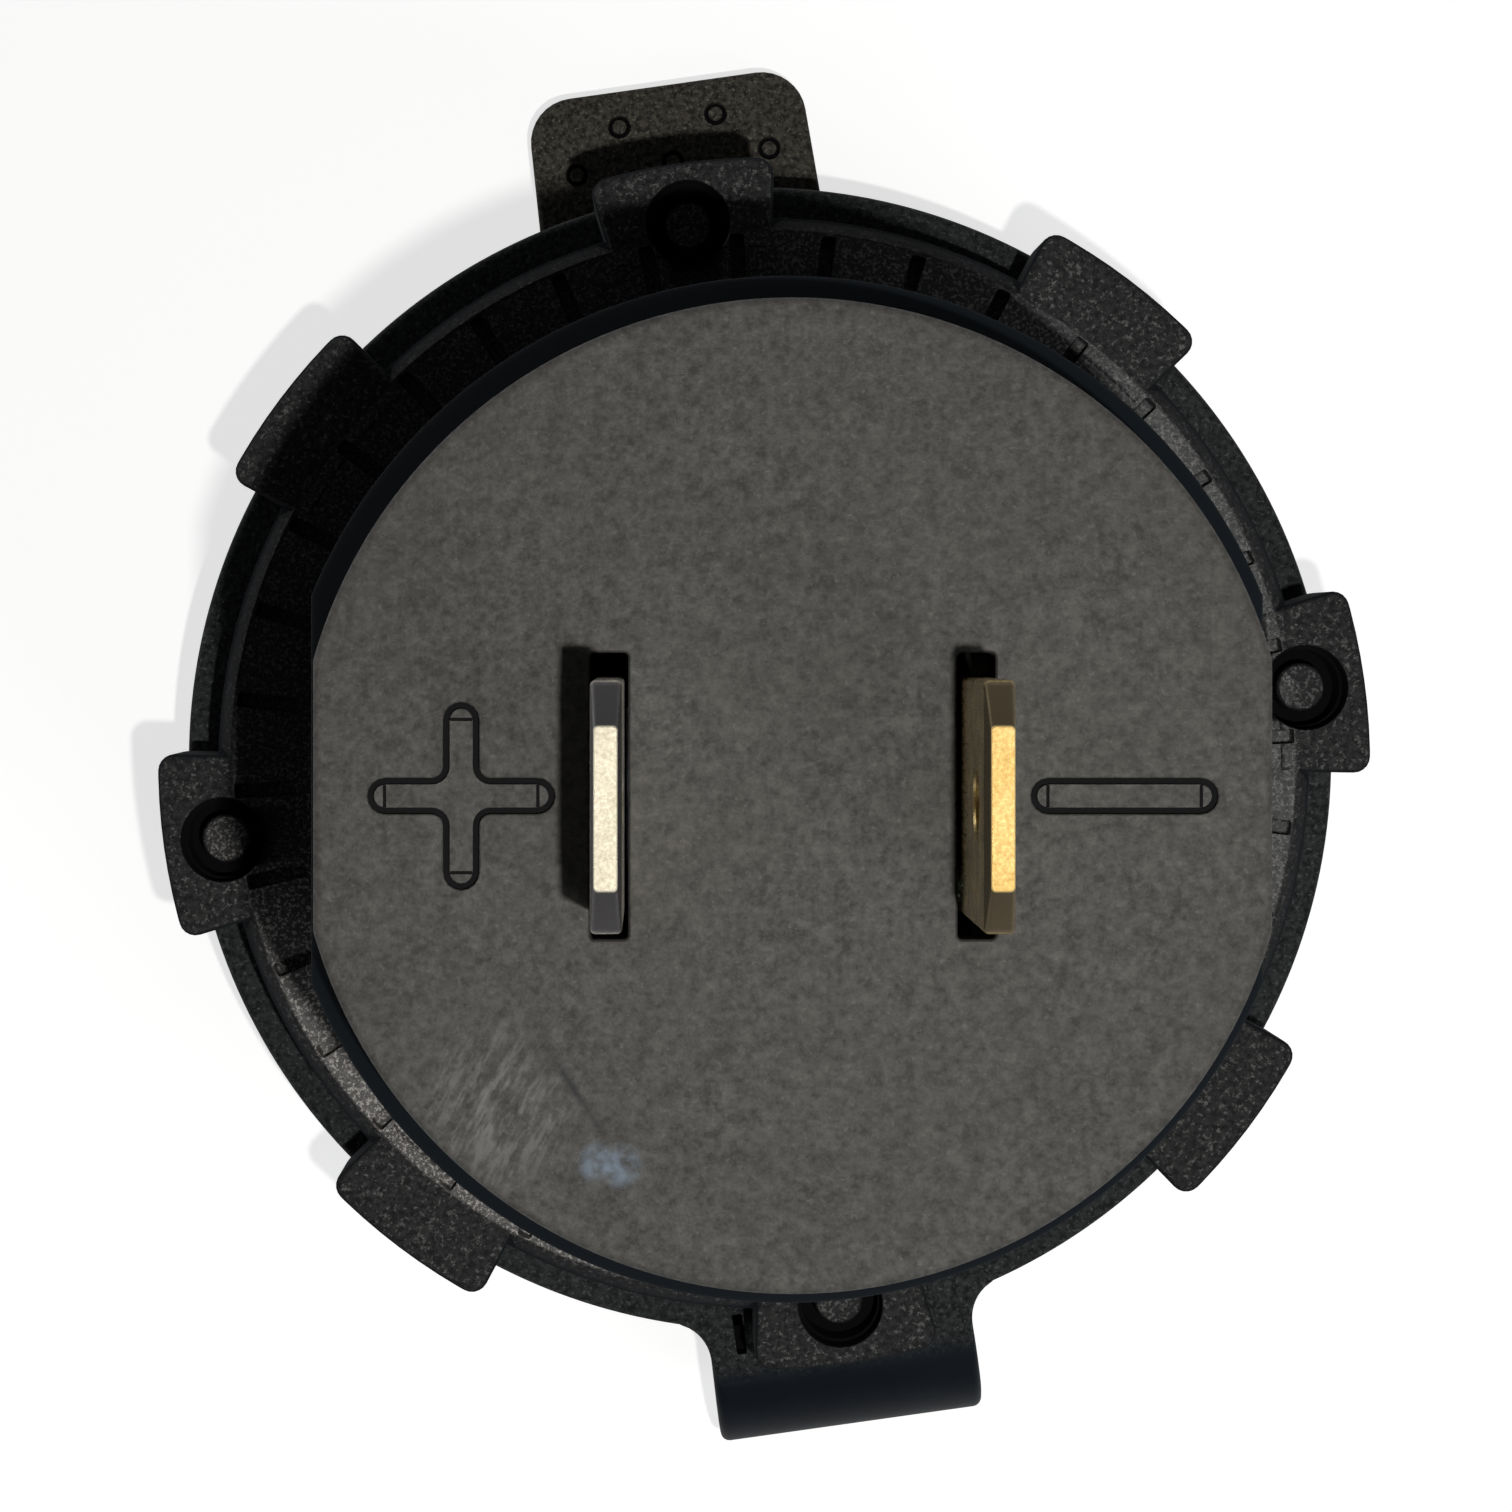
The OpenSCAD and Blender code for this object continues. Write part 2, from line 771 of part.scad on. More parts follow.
// The strap's free bend between the two roots
module cap_strap() {
    color("#14181d")
    rotate([0, 0, strap_angle])
        rotate([90, 0, 0])
            linear_extrude(height = strap_w, center = true)
                translate([strap_x, strap_bend_z])
                    intersection() {
                        difference() {
                            circle(r = strap_bend_r + strap_t / 2);
                            circle(r = strap_bend_r - strap_t / 2);
                        }
                        translate([0, -strap_bend_r - strap_t])
                            square([strap_bend_r + strap_t, 2 * (strap_bend_r + strap_t)]);
                    }
}

// Outline of the pull tab, along +X
module tab_outline() {
    tip = lid_r + tab_l;
    root = lid_r - tab_sink;
    translate([root, -tab_w / 2])
        square([tip - tab_corner - root, tab_w]);
    translate([root, tab_corner - tab_w / 2])
        square([tip - root, tab_w - 2 * tab_corner]);
    for (side = [-1, 1])
        translate([tip - tab_corner, side * (tab_w / 2 - tab_corner)])
            circle(r = tab_corner);
}

module cap_lid() {
    color("#14181d") {
        rotate_extrude()
            polygon(concat([[0, lid_t], [lid_r, lid_t]], edge_round(lid_r, 0, lid_round), [[0, 0]]));
        tube(skirt_r, skirt_r - skirt_wall, lid_t - cut, lid_t + skirt_h);
        rotate([0, 0, strap_angle])
            strap_root(strap_z_low - strap_t / 2, strap_z_low + strap_t / 2);
        rotate([0, 0, cap_angle]) {
            translate([0, 0, tab_z0])
                linear_extrude(height = lid_t - tab_z0)
                    tab_outline();
            for (side = [-1, 1])
                translate([pip_row_1[0], side * pip_row_1[1], lid_t])
                    sphere(r = pip_r);
            for (side = [-1, 0, 1])
                translate([pip_row_2[0], side * pip_row_2[1], lid_t])
                    sphere(r = pip_r);
        }
    }
}

// ---------------------------------------------------------------- nodes

housing();
face_plate();
light_pipe();
usb_shell(port_y);  // usb_shell_upper
usb_shell(-port_y);  // usb_shell_lower
usb_tongue(port_y);  // usb_tongue_upper
usb_tongue(-port_y);  // usb_tongue_lower
usb_contacts(port_y);  // usb_contacts_upper
usb_contacts(-port_y);  // usb_contacts_lower
port_board();
board_screws();
indicator_led();
converter_chip();
header_block();
header_pins();
power_board();
inductor_core();
inductor_winding();
capacitor(capacitor_y);  // input_capacitor
capacitor(-capacitor_y);  // output_capacitor
rectifier_diode();
input_fuse();
solder_joints();
rear_cover();
terminal_positive();
terminal_negative();
ring_nut();
slip_washer();
cap_ring();
cap_strap();
cap_lid();
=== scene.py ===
"""Looks for the round panel-mount USB power socket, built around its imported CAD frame."""
import json
from math import acos, atan2, cos, exp, hypot, pi, radians, sin, sqrt, tan, tau

import bmesh
import bpy
from mathutils import Matrix, Vector


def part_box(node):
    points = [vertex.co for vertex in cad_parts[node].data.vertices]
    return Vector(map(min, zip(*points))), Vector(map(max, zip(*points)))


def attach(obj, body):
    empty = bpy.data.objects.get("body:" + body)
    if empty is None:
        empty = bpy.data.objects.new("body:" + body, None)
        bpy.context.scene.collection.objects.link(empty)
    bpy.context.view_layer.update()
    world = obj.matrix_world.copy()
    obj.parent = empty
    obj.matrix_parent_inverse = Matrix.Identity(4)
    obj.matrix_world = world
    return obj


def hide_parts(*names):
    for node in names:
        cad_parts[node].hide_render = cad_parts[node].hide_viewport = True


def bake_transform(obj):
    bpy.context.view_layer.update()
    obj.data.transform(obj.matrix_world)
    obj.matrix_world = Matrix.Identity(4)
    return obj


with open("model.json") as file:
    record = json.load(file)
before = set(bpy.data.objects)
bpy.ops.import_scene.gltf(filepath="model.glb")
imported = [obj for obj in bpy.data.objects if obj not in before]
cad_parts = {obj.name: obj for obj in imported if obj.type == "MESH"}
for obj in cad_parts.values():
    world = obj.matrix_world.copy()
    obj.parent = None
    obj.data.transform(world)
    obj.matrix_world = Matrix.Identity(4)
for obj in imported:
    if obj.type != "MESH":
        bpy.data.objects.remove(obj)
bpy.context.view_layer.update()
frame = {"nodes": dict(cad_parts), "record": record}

# ---------- sizes, in millimetres

MM = 0.001
SIDES = (-1, 1)
AXIS_R = 0.001  # where a turned profile starts, just off its axis
CLEAR = 1.0  # how far a cutting solid runs past the face it cuts


def box_mm(node):
    """Lowest and highest corner of a CAD node, in millimetres."""
    return [[v / MM for v in corner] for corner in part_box(node)]


MOUNTS = {m["name"]: m for m in frame["record"]["mounts"]}
NUT_Z0, NUT_Z1 = [corner[2] for corner in box_mm("ring_nut")]
COVER_LOW, COVER_HIGH = box_mm("rear_cover")
HOUSING_LOW, HOUSING_HIGH = box_mm("housing")
RING_Z0, RING_Z1 = [corner[2] for corner in box_mm("cap_ring")]
WASHER_LOW, WASHER_HIGH = box_mm("slip_washer")
BLADE_LOW, BLADE_HIGH = box_mm("terminal_negative")
FACE_LOW, FACE_HIGH = box_mm("face_plate")
SHELL_LOW, SHELL_HIGH = box_mm("usb_shell_upper")
PIPE_LOW, PIPE_HIGH = box_mm("light_pipe")

# Barrel and cover
BARREL_R = MOUNTS["panel_barrel"]["dims"]["r_mm"]
BARREL_TOP = HOUSING_HIGH[2]
FLANGE_R = HOUSING_HIGH[0]
FLANGE_Z0 = HOUSING_LOW[2]
FLANGE_Z1 = RING_Z0
FLANGE_ROUND = 1.2
COVER_R = COVER_HIGH[1]
COVER_FLAT = COVER_HIGH[0]
COVER_TOP = COVER_HIGH[2]
COVER_ROUND = 0.25
PLATE_T = 1.6
PLUG_WALL = 1.1
BARREL_FLAT = COVER_FLAT + 0.45
BORE_R = 12.2
PLUG_R = BORE_R - 0.1
LIP = 0.2
THREAD_DEPTH = 1.0
THREAD_PITCH = 2.0
THREAD_Z0 = FLANGE_Z1 + 0.2
ROWS_PER_PITCH = 16
BARREL_CHAMFER = 0.9
CHAMFER_Z0 = BARREL_TOP - BARREL_CHAMFER
PLAIN_Z0 = CHAMFER_Z0 - 0.9
PLAIN_FADE = 0.5
EDGE_SOFTNESS = 0.12

# Front face and ports
PLATE_Z0 = FACE_LOW[2]
PLATE_Z1 = PLATE_Z0 + 1.2
PLATE_SEAT_R = FACE_HIGH[0] + 0.1
RECESS_R = 15.0
BOSS_R = 1.9
BOSS_X = BORE_R - 2.5
SCREW_HOLE_R = 0.97
SCREW_HOLE_DEPTH = 7.0
LIGHT_Y = (PIPE_LOW[1] + PIPE_HIGH[1]) / 2
PORT_W = SHELL_HIGH[0] - SHELL_LOW[0]
PORT_H = SHELL_HIGH[1] - SHELL_LOW[1]
PORT_Y = (SHELL_HIGH[1] + SHELL_LOW[1]) / 2
SHELL_T = 0.38
SHELL_Z0 = SHELL_LOW[2]
SHELL_Z1 = FACE_HIGH[2]
TONGUE_W = 11.1
TONGUE_T = 1.84
TONGUE_Y = 0.95
TONGUE_ROOT = 4.6
CONTACT_X = (-3.5, -1, 1, 3.5)

# Nut
NUT_R = BARREL_R + 4.08
LUG_R = NUT_R + 2.0
LUG_COUNT = 8
LUG_ANGLE = radians(17.8)
LUG_CORNER = 0.55
CLOCKING = radians(8)
SPANNER_COUNT = 4
SPANNER_R = MOUNTS["spanner_sockets"]["dims"]["hole_r_mm"]
SPANNER_PCR = MOUNTS["spanner_sockets"]["dims"]["pcd_mm"] / 2
ISLAND_Z = NUT_Z1 - 1.0
MOAT_Z = NUT_Z1 - 2.4
MOAT_R = SPANNER_R - 0.1
MOAT_CORE_R = 0.82
RIM_CHAMFER = 0.45
DISH_R = NUT_R - RIM_CHAMFER
DISH_FLOOR_R = BARREL_R + 1.08
DISH_Z = NUT_Z1 - 0.4
NUT_BORE_R = BARREL_R + 0.08
SLOT_COUNT = 36
SLOT_LENGTH = 2.0
SLOT_WIDTH = 0.5
WASHER_GAP = 0.2

# Cap
CAP_ANGLE = CLOCKING + pi / 2
STRAP_ANGLE = CAP_ANGLE + pi
RING_R = FLANGE_R - 0.1
STRAP_W = 9.2
STRAP_T = 1.3
STRAP_X = FLANGE_R + 0.6
STRAP_START = FLANGE_R - 2.6
STRAP_FILLET = 1.5
STRAP_EDGE = 0.3
STRAP_Z_TOP = (RING_Z0 + RING_Z1) / 2
STRAP_Z_LOW = 0.4 + STRAP_T / 2
LID_T = 2.0
LID_ROUND = 1.1
SKIRT_TOP = box_mm("cap_lid")[1][2]
SKIRT_R = RECESS_R - 0.4
SKIRT_WALL = 1.3
FACE_RIM_R = 16.5
FACE_DISH = 0.15
TAB_W = 10.1
TAB_ROOT = FLANGE_R - 3
TAB_TIP = FLANGE_R + 4.4
TAB_CORNER = 1.6
TAB_Z0 = 0.5
PIP_ROWS = ((FLANGE_R + 3.1, (-1.75, 1.75)), (FLANGE_R + 1.6, (-3.5, 0, 3.5)))
POCKET_L = 1.4
POCKET_W = 0.35
POCKET_R = 19.7
POCKET_OFFSET = 3.5
POCKET_DEPTH = 1.1

# Blades
BLADE_X = (BLADE_LOW[0] + BLADE_HIGH[0]) / 2
BLADE_T = BLADE_HIGH[0] - BLADE_LOW[0]
BLADE_TOP = BLADE_HIGH[2]
BLADE_W = 6.3
BLADE_EDGE = 0.14
TAIL_W = 2.4
SHOULDER_Z0 = 31.9
SHOULDER_Z1 = SHOULDER_Z0 + 1.0
TIP_BEVEL = 1.0
TIP_W = 4.0
TIP_T = 0.6
TIP_Z0 = BLADE_TOP - TIP_BEVEL
BLADE_HOLE_R = MOUNTS["terminal_hole_negative"]["dims"]["r_mm"]
BLADE_HOLE_Z = MOUNTS["terminal_hole_negative"]["pos_m"][2] / MM

# Marks and slots of the cover
MARK_L = 5.0
MARK_W = 0.97
MARK_CORNER = 0.3
MARK_DEPTH = 0.25
MARK_FLOOR = 0.06
MARK_MOAT = 0.18
MARK_LINE = 0.09
SLOT_L = 7.6
SLOT_W = 1.0
SHOULDER_W = SLOT_L + 1.2
MARK_X = BLADE_X + SLOT_W / 2 + 0.93 + MARK_L / 2

# ---------- camera, lights and floor

CAMERA_HEIGHT = 104.4
CAMERA_OFFSET = (-3.66, 4.14)
LENS_MM = 93.7
SHIFT = (0.0668, -0.0767)
FLOOR_HALF = 3.0  # metres
FLOOR_DROP = 0.00002  # metres
SKY_COLOUR = (0.93, 0.96, 1.0, 1)
SKY_STRENGTH = 0.05


def add_object(name, data):
    """A new object in the scene."""
    obj = bpy.data.objects.new(name, data)
    bpy.context.scene.collection.objects.link(obj)
    return obj


def add_camera():
    """Looks straight down the barrel, a little off its axis, from just above the blades."""
    data = bpy.data.cameras.new("camera")
    data.lens = LENS_MM
    data.shift_x, data.shift_y = SHIFT
    data.clip_start = 0.001
    camera = add_object("camera", data)
    camera.location = Vector((*CAMERA_OFFSET, COVER_TOP + CAMERA_HEIGHT)) * MM
    bpy.context.scene.camera = camera


def area_light(name, position, target, size, watts, colour):
    """A round lamp that faces its target; positions and size in millimetres."""
    data = bpy.data.lights.new(name, "AREA")
    data.shape = "DISK"
    data.size = size * MM
    data.energy = watts
    data.color = colour
    lamp = add_object(name, data)
    lamp.location = Vector(position) * MM
    aim = Vector(target) * MM - lamp.location
    lamp.rotation_euler = aim.to_track_quat("-Z", "Y").to_euler()


def add_lights():
    """A small lamp beside the camera, a softbox on the right, a low fill opposite, pale surroundings."""
    area_light("key", (8.2, -9.8, 148), (0, 0, 20), 3, 0.1, (1.0, 0.985, 0.955))
    area_light("softbox", (210, -190, 250), (0, 0, 10), 190, 0.24, (0.97, 0.985, 1.0))
    area_light("fill", (-250, 150, 8), (0, 0, 15), 150, 0.18, (0.95, 0.975, 1.0))
    world = bpy.data.worlds.new("surroundings")
    world.use_nodes = True
    background = world.node_tree.nodes["Background"]
    background.inputs["Color"].default_value = SKY_COLOUR
    background.inputs["Strength"].default_value = SKY_STRENGTH
    bpy.context.scene.world = world


def floor_paint():
    """White and glowing a little where it is seen, plain pale where it only lights the object."""
    shader = Shader("floor_paint", (1, 1, 1), 1.0)
    plain, seen = (shader.node("BsdfDiffuse", (tone, tone, tone)).outputs[0] for tone in (0.75, 0.52))
    glow = shader.node("Emission", (1, 1, 1), 0.72).outputs[0]
    rays = shader.node("LightPath").outputs
    in_view = shader.most(rays["Is Camera Ray"], rays["Is Glossy Ray"])
    in_view = shader.most(in_view, rays["Is Transmission Ray"])
    bright = shader.node("AddShader", seen, glow).outputs[0]
    paint = shader.node("MixShader", in_view, plain, bright).outputs[0]
    shader.feed(shader.tree.nodes["Material Output"], Surface=paint)
    return shader.material


def add_floor():
    """Pale floor that looks white where it is lit and keeps the object's shadow."""
    mesh = bpy.data.meshes.new("floor")
    corners = [(x * FLOOR_HALF, y * FLOOR_HALF, 0) for x, y in ((-1, -1), (1, -1), (1, 1), (-1, 1))]
    mesh.from_pydata(corners, [], [(0, 1, 2, 3)])
    floor = add_object("floor", mesh)
    floor.location = (0, 0, -FLOOR_DROP)
    mesh.materials.append(floor_paint())


# ---------- material helpers

# Painted shade: near-black colour for the walls and floors of moulded grooves, sockets, pockets and dimples.
PAINTED_GROOVE_SHADE = (0.003, 0.003, 0.004)


class Shader:
    """A principled material and the few node chains that the finishes share."""

    def __init__(self, name, colour, roughness, metallic=0.0, specular=0.5):
        self.material = bpy.data.materials.new(name)
        self.material.use_nodes = True
        self.tree = self.material.node_tree
        self.surface = self.tree.nodes["Principled BSDF"]
        self.feed(self.surface, Base_Color=colour, Roughness=roughness, Metallic=metallic,
                  Specular_IOR_Level=specular)
        self.coords = self.node("TexCoord").outputs["Object"]

    def node(self, kind, *values, **settings):
        """A new node with its settings made and its first sockets fed."""
        node = self.tree.nodes.new("ShaderNode" + kind)
        for name, setting in settings.items():
            setattr(node, name, setting)
        for value, socket in zip(values, node.inputs):
            self.put(value, socket)
        return node

    def put(self, value, socket):
        """Feeds a socket: an output is linked, a tuple is a colour, anything else is set as it is."""
        if isinstance(value, bpy.types.NodeSocket):
            self.tree.links.new(value, socket)
        elif isinstance(value, tuple):
            socket.default_value = (*value, 1)
        else:
            socket.default_value = value

    def feed(self, node, **values):
        """The node, with sockets fed by name; an underscore stands for a space."""
        for name, value in values.items():
            self.put(value, node.inputs[name.replace("_", " ")])
        return node

    def math(self, operation, a, b=0.0, clamp=False):
        """One step of arithmetic."""
        return self.node("Math", a, b, operation=operation, use_clamp=clamp).outputs[0]

    def times(self, a, b):
        """Product of two values."""
        return self.math("MULTIPLY", a, b)

    def most(self, a, b):
        """The greater of two values."""
        return self.math("MAXIMUM", a, b)

    def weigh(self, a, b, share):
        """Mean of two values, the first with a share of 1 and the second with the rest."""
        return self.math("ADD", self.times(a, share), self.times(b, 1 - share))

    def vector(self, operation, a, b, result="Vector"):
        """One step of vector arithmetic."""
        return self.node("VectorMath", a, b, operation=operation).outputs[result]

    def attribute(self, name):
        """A number stored at the mesh's vertices."""
        return self.node("Attribute", attribute_name=name).outputs["Fac"]

    def noise(self, size, detail=3.0, roughness=0.55, stretch=None, turn=0.0):
        """Noise whose grains are about size millimetres across, turned and then stretched."""
        source = self.coords
        if stretch:
            mapping = self.node("Mapping", source, vector_type="TEXTURE")
            self.feed(mapping, Rotation=Vector((0, 0, turn)), Scale=Vector([1 / s for s in stretch]))
            source = mapping.outputs["Vector"]
        node = self.node("TexNoise", source)
        return self.feed(node, Scale=1 / (size * MM), Detail=detail, Roughness=roughness).outputs["Fac"]

    def cells(self, size, randomness=1.0):
        """Distance to the nearest of scattered points about size millimetres apart."""
        node = self.node("TexVoronoi", self.coords)
        return self.feed(node, Scale=1 / (size * MM), Randomness=randomness).outputs["Distance"]

    def span(self, value, low, high, out_low=0.0, out_high=1.0):
        """Maps low..high to out_low..out_high, held at the ends."""
        return self.node("MapRange", value, low, high, out_low, out_high).outputs[0]

    def mix(self, factor, a, b):
        """Blend of two colours."""
        node = self.node("Mix", data_type="RGBA")
        for index, value in ((0, factor), (6, a), (7, b)):
            self.put(value, node.inputs[index])
        return node.outputs[2]

    def specks(self, size, share):
        """Scattered ragged specks about size millimetres apart that cover about a share of the surface."""
        grains = self.noise(size * 0.55, detail=3, roughness=0.75)
        return self.span(grains, 0.68 - share * 0.3, 0.78 - share * 0.3)

    def speckled(self, base, colour, size, share, strength):
        """A colour with scattered specks of another over it."""
        return self.mix(self.times(self.specks(size, share), strength), base, colour)

    def near(self, centre, radius):
        """1 at a point given in millimetres, falling to 0 at radius."""
        gap = self.vector("DISTANCE", self.coords, Vector(centre) * MM, "Value")
        return self.span(gap, 0, radius * MM, 1, 0)

    def near_line(self, start, end, width):
        """1 on a straight line between two points in millimetres, falling to 0 at a width."""
        along = (Vector(end) - Vector(start)) * MM
        offset = self.vector("SUBTRACT", self.coords, Vector(start) * MM)
        share = self.vector("DOT_PRODUCT", offset, along / along.length_squared, "Value")
        foot = self.vector("MULTIPLY", along, self.math("ADD", share, clamp=True))
        return self.span(self.vector("DISTANCE", offset, foot, "Value"), 0, width * MM, 1, 0)

    def radius(self):
        """Distance from the barrel's axis, in metres."""
        level = self.vector("MULTIPLY", self.coords, Vector((1, 1, 0)))
        return self.vector("DISTANCE", level, Vector(), "Value")

    def colour(self, value):
        """Feeds the surface's colour, which can be read back as base."""
        self.base = value
        self.feed(self.surface, Base_Color=value)

    def roughness(self, value):
        """Feeds the surface's roughness, which can be read back as rough."""
        self.rough = value
        self.feed(self.surface, Roughness=value)

    def grooved(self, base, rough):
        """Feeds colour and roughness; the moulded grooves are painted black as shade and made dull."""
        groove = self.attribute("groove")
        self.colour(self.mix(groove, base, PAINTED_GROOVE_SHADE))
        self.roughness(self.most(rough, groove))

    def bump(self, height, depth_mm):
        """Raises the surface by a height times a depth."""
        node = self.feed(self.node("Bump"), Strength=1.0, Distance=depth_mm * MM, Height=height)
        self.feed(self.surface, Normal=node.outputs["Normal"])


def grained_plastic(name, dark, light, grain, depth, rough_low, rough_high):
    """Moulded plastic with a spark-eroded grain, blotched a little in colour and gloss."""
    shader = Shader(name, light, rough_high)
    fine = shader.noise(grain, detail=4, roughness=0.65)
    broad = shader.noise(grain * 24, detail=2)
    tone = shader.weigh(fine, broad, 0.75)
    shader.colour(shader.mix(shader.span(tone, 0.36, 0.64), dark, light))
    shader.roughness(shader.span(broad, 0.35, 0.65, rough_low, rough_high))
    shader.bump(fine, depth)
    return shader


def smooth_plastic(name, dark, light, roughness, specular=0.5):
    """Polished moulding with faint flow marks and handling haze."""
    shader = Shader(name, light, roughness, specular=specular)
    haze = shader.noise(3.5, detail=5, roughness=0.6)
    flow = shader.noise(1.4, detail=2, stretch=(1, 1, 0.25))
    shader.colour(shader.mix(shader.span(haze, 0.35, 0.65), dark, light))
    shader.roughness(shader.span(haze, 0.3, 0.7, roughness * 0.8, roughness * 1.35))
    shader.bump(flow, 0.004)
    return shader


def rolled_metal(name, dark, light, roughness, grain=(16, 1, 1)):
    """Rolled sheet with fine drawn lines and a slight tarnish."""
    shader = Shader(name, light, roughness, metallic=1.0)
    lines = shader.noise(1.2, detail=3, roughness=0.6, stretch=grain)
    tarnish = shader.noise(1.1, detail=4)
    shader.colour(shader.mix(shader.span(tarnish, 0.38, 0.68), dark, light))
    shader.roughness(shader.span(lines, 0.3, 0.7, roughness * 0.7, roughness * 1.3))
    shader.bump(lines, 0.0012)
    return shader


# ---------- mesh helpers


def polar(r, angle):
    """A point in the plane from its distance and angle."""
    return r * cos(angle), r * sin(angle)


def quarter(steps):
    """Angles of a quarter turn, both ends included."""
    return [pi / 2 * i / steps for i in range(steps + 1)]


def arc(centre, r, start, end, steps):
    """Points of an arc, both ends included, in the plane."""
    return [(centre[0] + r * cos(a), centre[1] + r * sin(a))
            for a in (start + (end - start) * i / steps for i in range(steps + 1))]


def rounded_outline(corners, steps=6):
    """Closed outline from corners (x, y, radius); a positive radius rounds that corner."""
    points = []
    count = len(corners)
    for i, (x, y, radius) in enumerate(corners):
        here = Vector((x, y))
        back = Vector(corners[i - 1][:2]) - here
        ahead = Vector(corners[(i + 1) % count][:2]) - here
        if radius <= 0:
            points.append((x, y))
            continue
        back.normalize()
        ahead.normalize()
        half = acos(max(-1, min(1, back.dot(ahead)))) / 2
        reach = radius / tan(half)
        centre = here + (back + ahead).normalized() * radius / sin(half)
        start = here + back * reach - centre
        end = here + ahead * reach - centre
        turn = start.angle_signed(end)
        first = atan2(start.y, start.x)
        points += arc(centre, radius, first, first - turn, steps)
    return points


def rectangle(width, height, radius=0.0, steps=6):
    """Outline round the origin, with its corners rounded."""
    x, y = width / 2, height / 2
    return rounded_outline([(x, -y, radius), (x, y, radius), (-x, y, radius), (-x, -y, radius)], steps)


def shifted(outline, x, y=0.0):
    """The outline moved in the plane."""
    return [(px + x, py + y) for px, py in outline]


def inset(outline, distance):
    """The outline moved inwards by a distance, for outlines that run anticlockwise."""
    points = [Vector(p) for p in outline]
    result = []
    for i, here in enumerate(points):
        back = (here - points[i - 1]).normalized()
        ahead = (points[(i + 1) % len(points)] - here).normalized()
        normal = Vector((-back.y - ahead.y, back.x + ahead.x)).normalized()
        share = max(normal.dot(Vector((-back.y, back.x))), 0.4)
        result.append(tuple(here + normal * distance / share))
    return result


def double_d(r, flat, z, arc_steps=72, flat_steps=24):
    """A level loop round a rod of radius r with two flats across X."""
    corner = acos(min(flat / r, 1))
    loop = []
    for side in (0, pi):
        loop += [polar(r, side + corner + (pi - 2 * corner) * i / arc_steps) for i in range(arc_steps)]
        x, y = polar(r, side + pi - corner)
        loop += [(x, y - 2 * y * i / flat_steps) for i in range(flat_steps)]
    return [(x, y, z) for x, y in loop]


def ring_loop(r, z, like):
    """A round loop whose points stand at the same angles as another loop's."""
    return [(*polar(r, atan2(y, x)), z) for x, y, _ in like]


def circle_loop(r, z, steps):
    """A level circle round the axis."""
    return [(*polar(r, tau * i / steps), z) for i in range(steps)]


def bridge(bm, rings, closed):
    """Faces between rings of vertices; closed also joins the last to the first."""
    pairs = list(zip(rings, rings[1:])) + ([(rings[-1], rings[0])] if closed else [])
    for low, high in pairs:
        for i in range(len(low)):
            j = (i + 1) % len(low)
            bm.faces.new((low[i], low[j], high[j], high[i]))


def skin(loops, closed=False):
    """Mesh through equal loops: closed on itself, or with a flat cap at each end."""
    bm = bmesh.new()
    rings = [[bm.verts.new(p) for p in loop] for loop in loops]
    bridge(bm, rings, closed)
    if not closed:
        bm.faces.new(list(reversed(rings[0])))
        bm.faces.new(rings[-1])
    bmesh.ops.recalc_face_normals(bm, faces=bm.faces)
    return bm


def stack(*levels, closed=False):
    """Mesh through level outlines, each given with its height."""
    return skin([[(x, y, z) for x, y in outline] for outline, z in levels], closed)


def lathe(profile, steps):
    """Closed ring from a closed profile of (radius, z) points."""
    return skin([circle_loop(r, z, steps) for r, z in profile], closed=True)


def dome(profile, steps):
    """Turned solid from a profile that starts and ends at flat round faces."""
    return skin([circle_loop(r, z, steps) for r, z in profile])


def prism(outline, z0, z1):
    """Straight solid over an outline."""
    return stack((outline, z0), (outline, z1))


def rounded_prism(outline, z0, z1, top=0.0, bottom=0.0):
    """Straight solid over an outline, with its top and bottom edges rounded."""
    low = [(bottom * (1 - sin(a)), z0 + bottom * (1 - cos(a))) for a in quarter(4)]
    high = [(top * (1 - cos(a)), z1 - top * (1 - sin(a))) for a in quarter(4)]
    levels = (low if bottom else [(0, z0)]) + (high if top else [(0, z1)])
    return stack(*((inset(outline, draw), z) for draw, z in levels))


def flared_cut(outline, z0, z1, flare):
    """Cutting solid that opens out at a face at z1, so that it leaves a chamfer there."""
    return stack((outline, z0), (outline, z1 - flare), (inset(outline, -flare), z1),
                 (inset(outline, -flare - CLEAR), z1 + CLEAR))


def moat_cut(outline, width, z0, z1):
    """Cutting solid for a narrow channel just inside an outline."""
    inner = inset(outline, width)
    return stack((outline, z0), (outline, z1), (inner, z1), (inner, z0), closed=True)


def join(*parts):
    """One mesh from several, which are used up."""
    whole = bmesh.new()
    for part in parts:
        part.verts.ensure_lookup_table()
        copies = [whole.verts.new(v.co) for v in part.verts]
        part.verts.index_update()
        for face in part.faces:
            whole.faces.new([copies[v.index] for v in face.verts])
        part.free()
    return whole


def turned(bm, angle, axis="Z"):
    """The mesh, turned about an axis through the origin."""
    bmesh.ops.rotate(bm, verts=bm.verts, cent=(0, 0, 0), matrix=Matrix.Rotation(angle, 3, axis))
    return bm


def moved(bm, x=0.0, y=0.0, z=0.0):
    """The mesh, moved."""
    bmesh.ops.translate(bm, verts=bm.verts, vec=(x, y, z))
    return bm


def both_sides(make, x, y=0.0):
    """Two of a mesh, at -x and at x."""
    return join(*(moved(make(), x=side * x, y=y) for side in SIDES))


def all_round(make, count, start=0.0):
    """A number of a mesh, evenly round the axis from a share of the first step."""
    return join(*(turned(make(), tau * (i + start) / count) for i in range(count)))


def new_object(name, bm):
    """Object in metres from a mesh in millimetres."""
    bmesh.ops.scale(bm, verts=bm.verts, vec=(MM, MM, MM))
    mesh = bpy.data.meshes.new(name)
    bm.to_mesh(mesh)
    bm.free()
    return add_object(name, mesh)


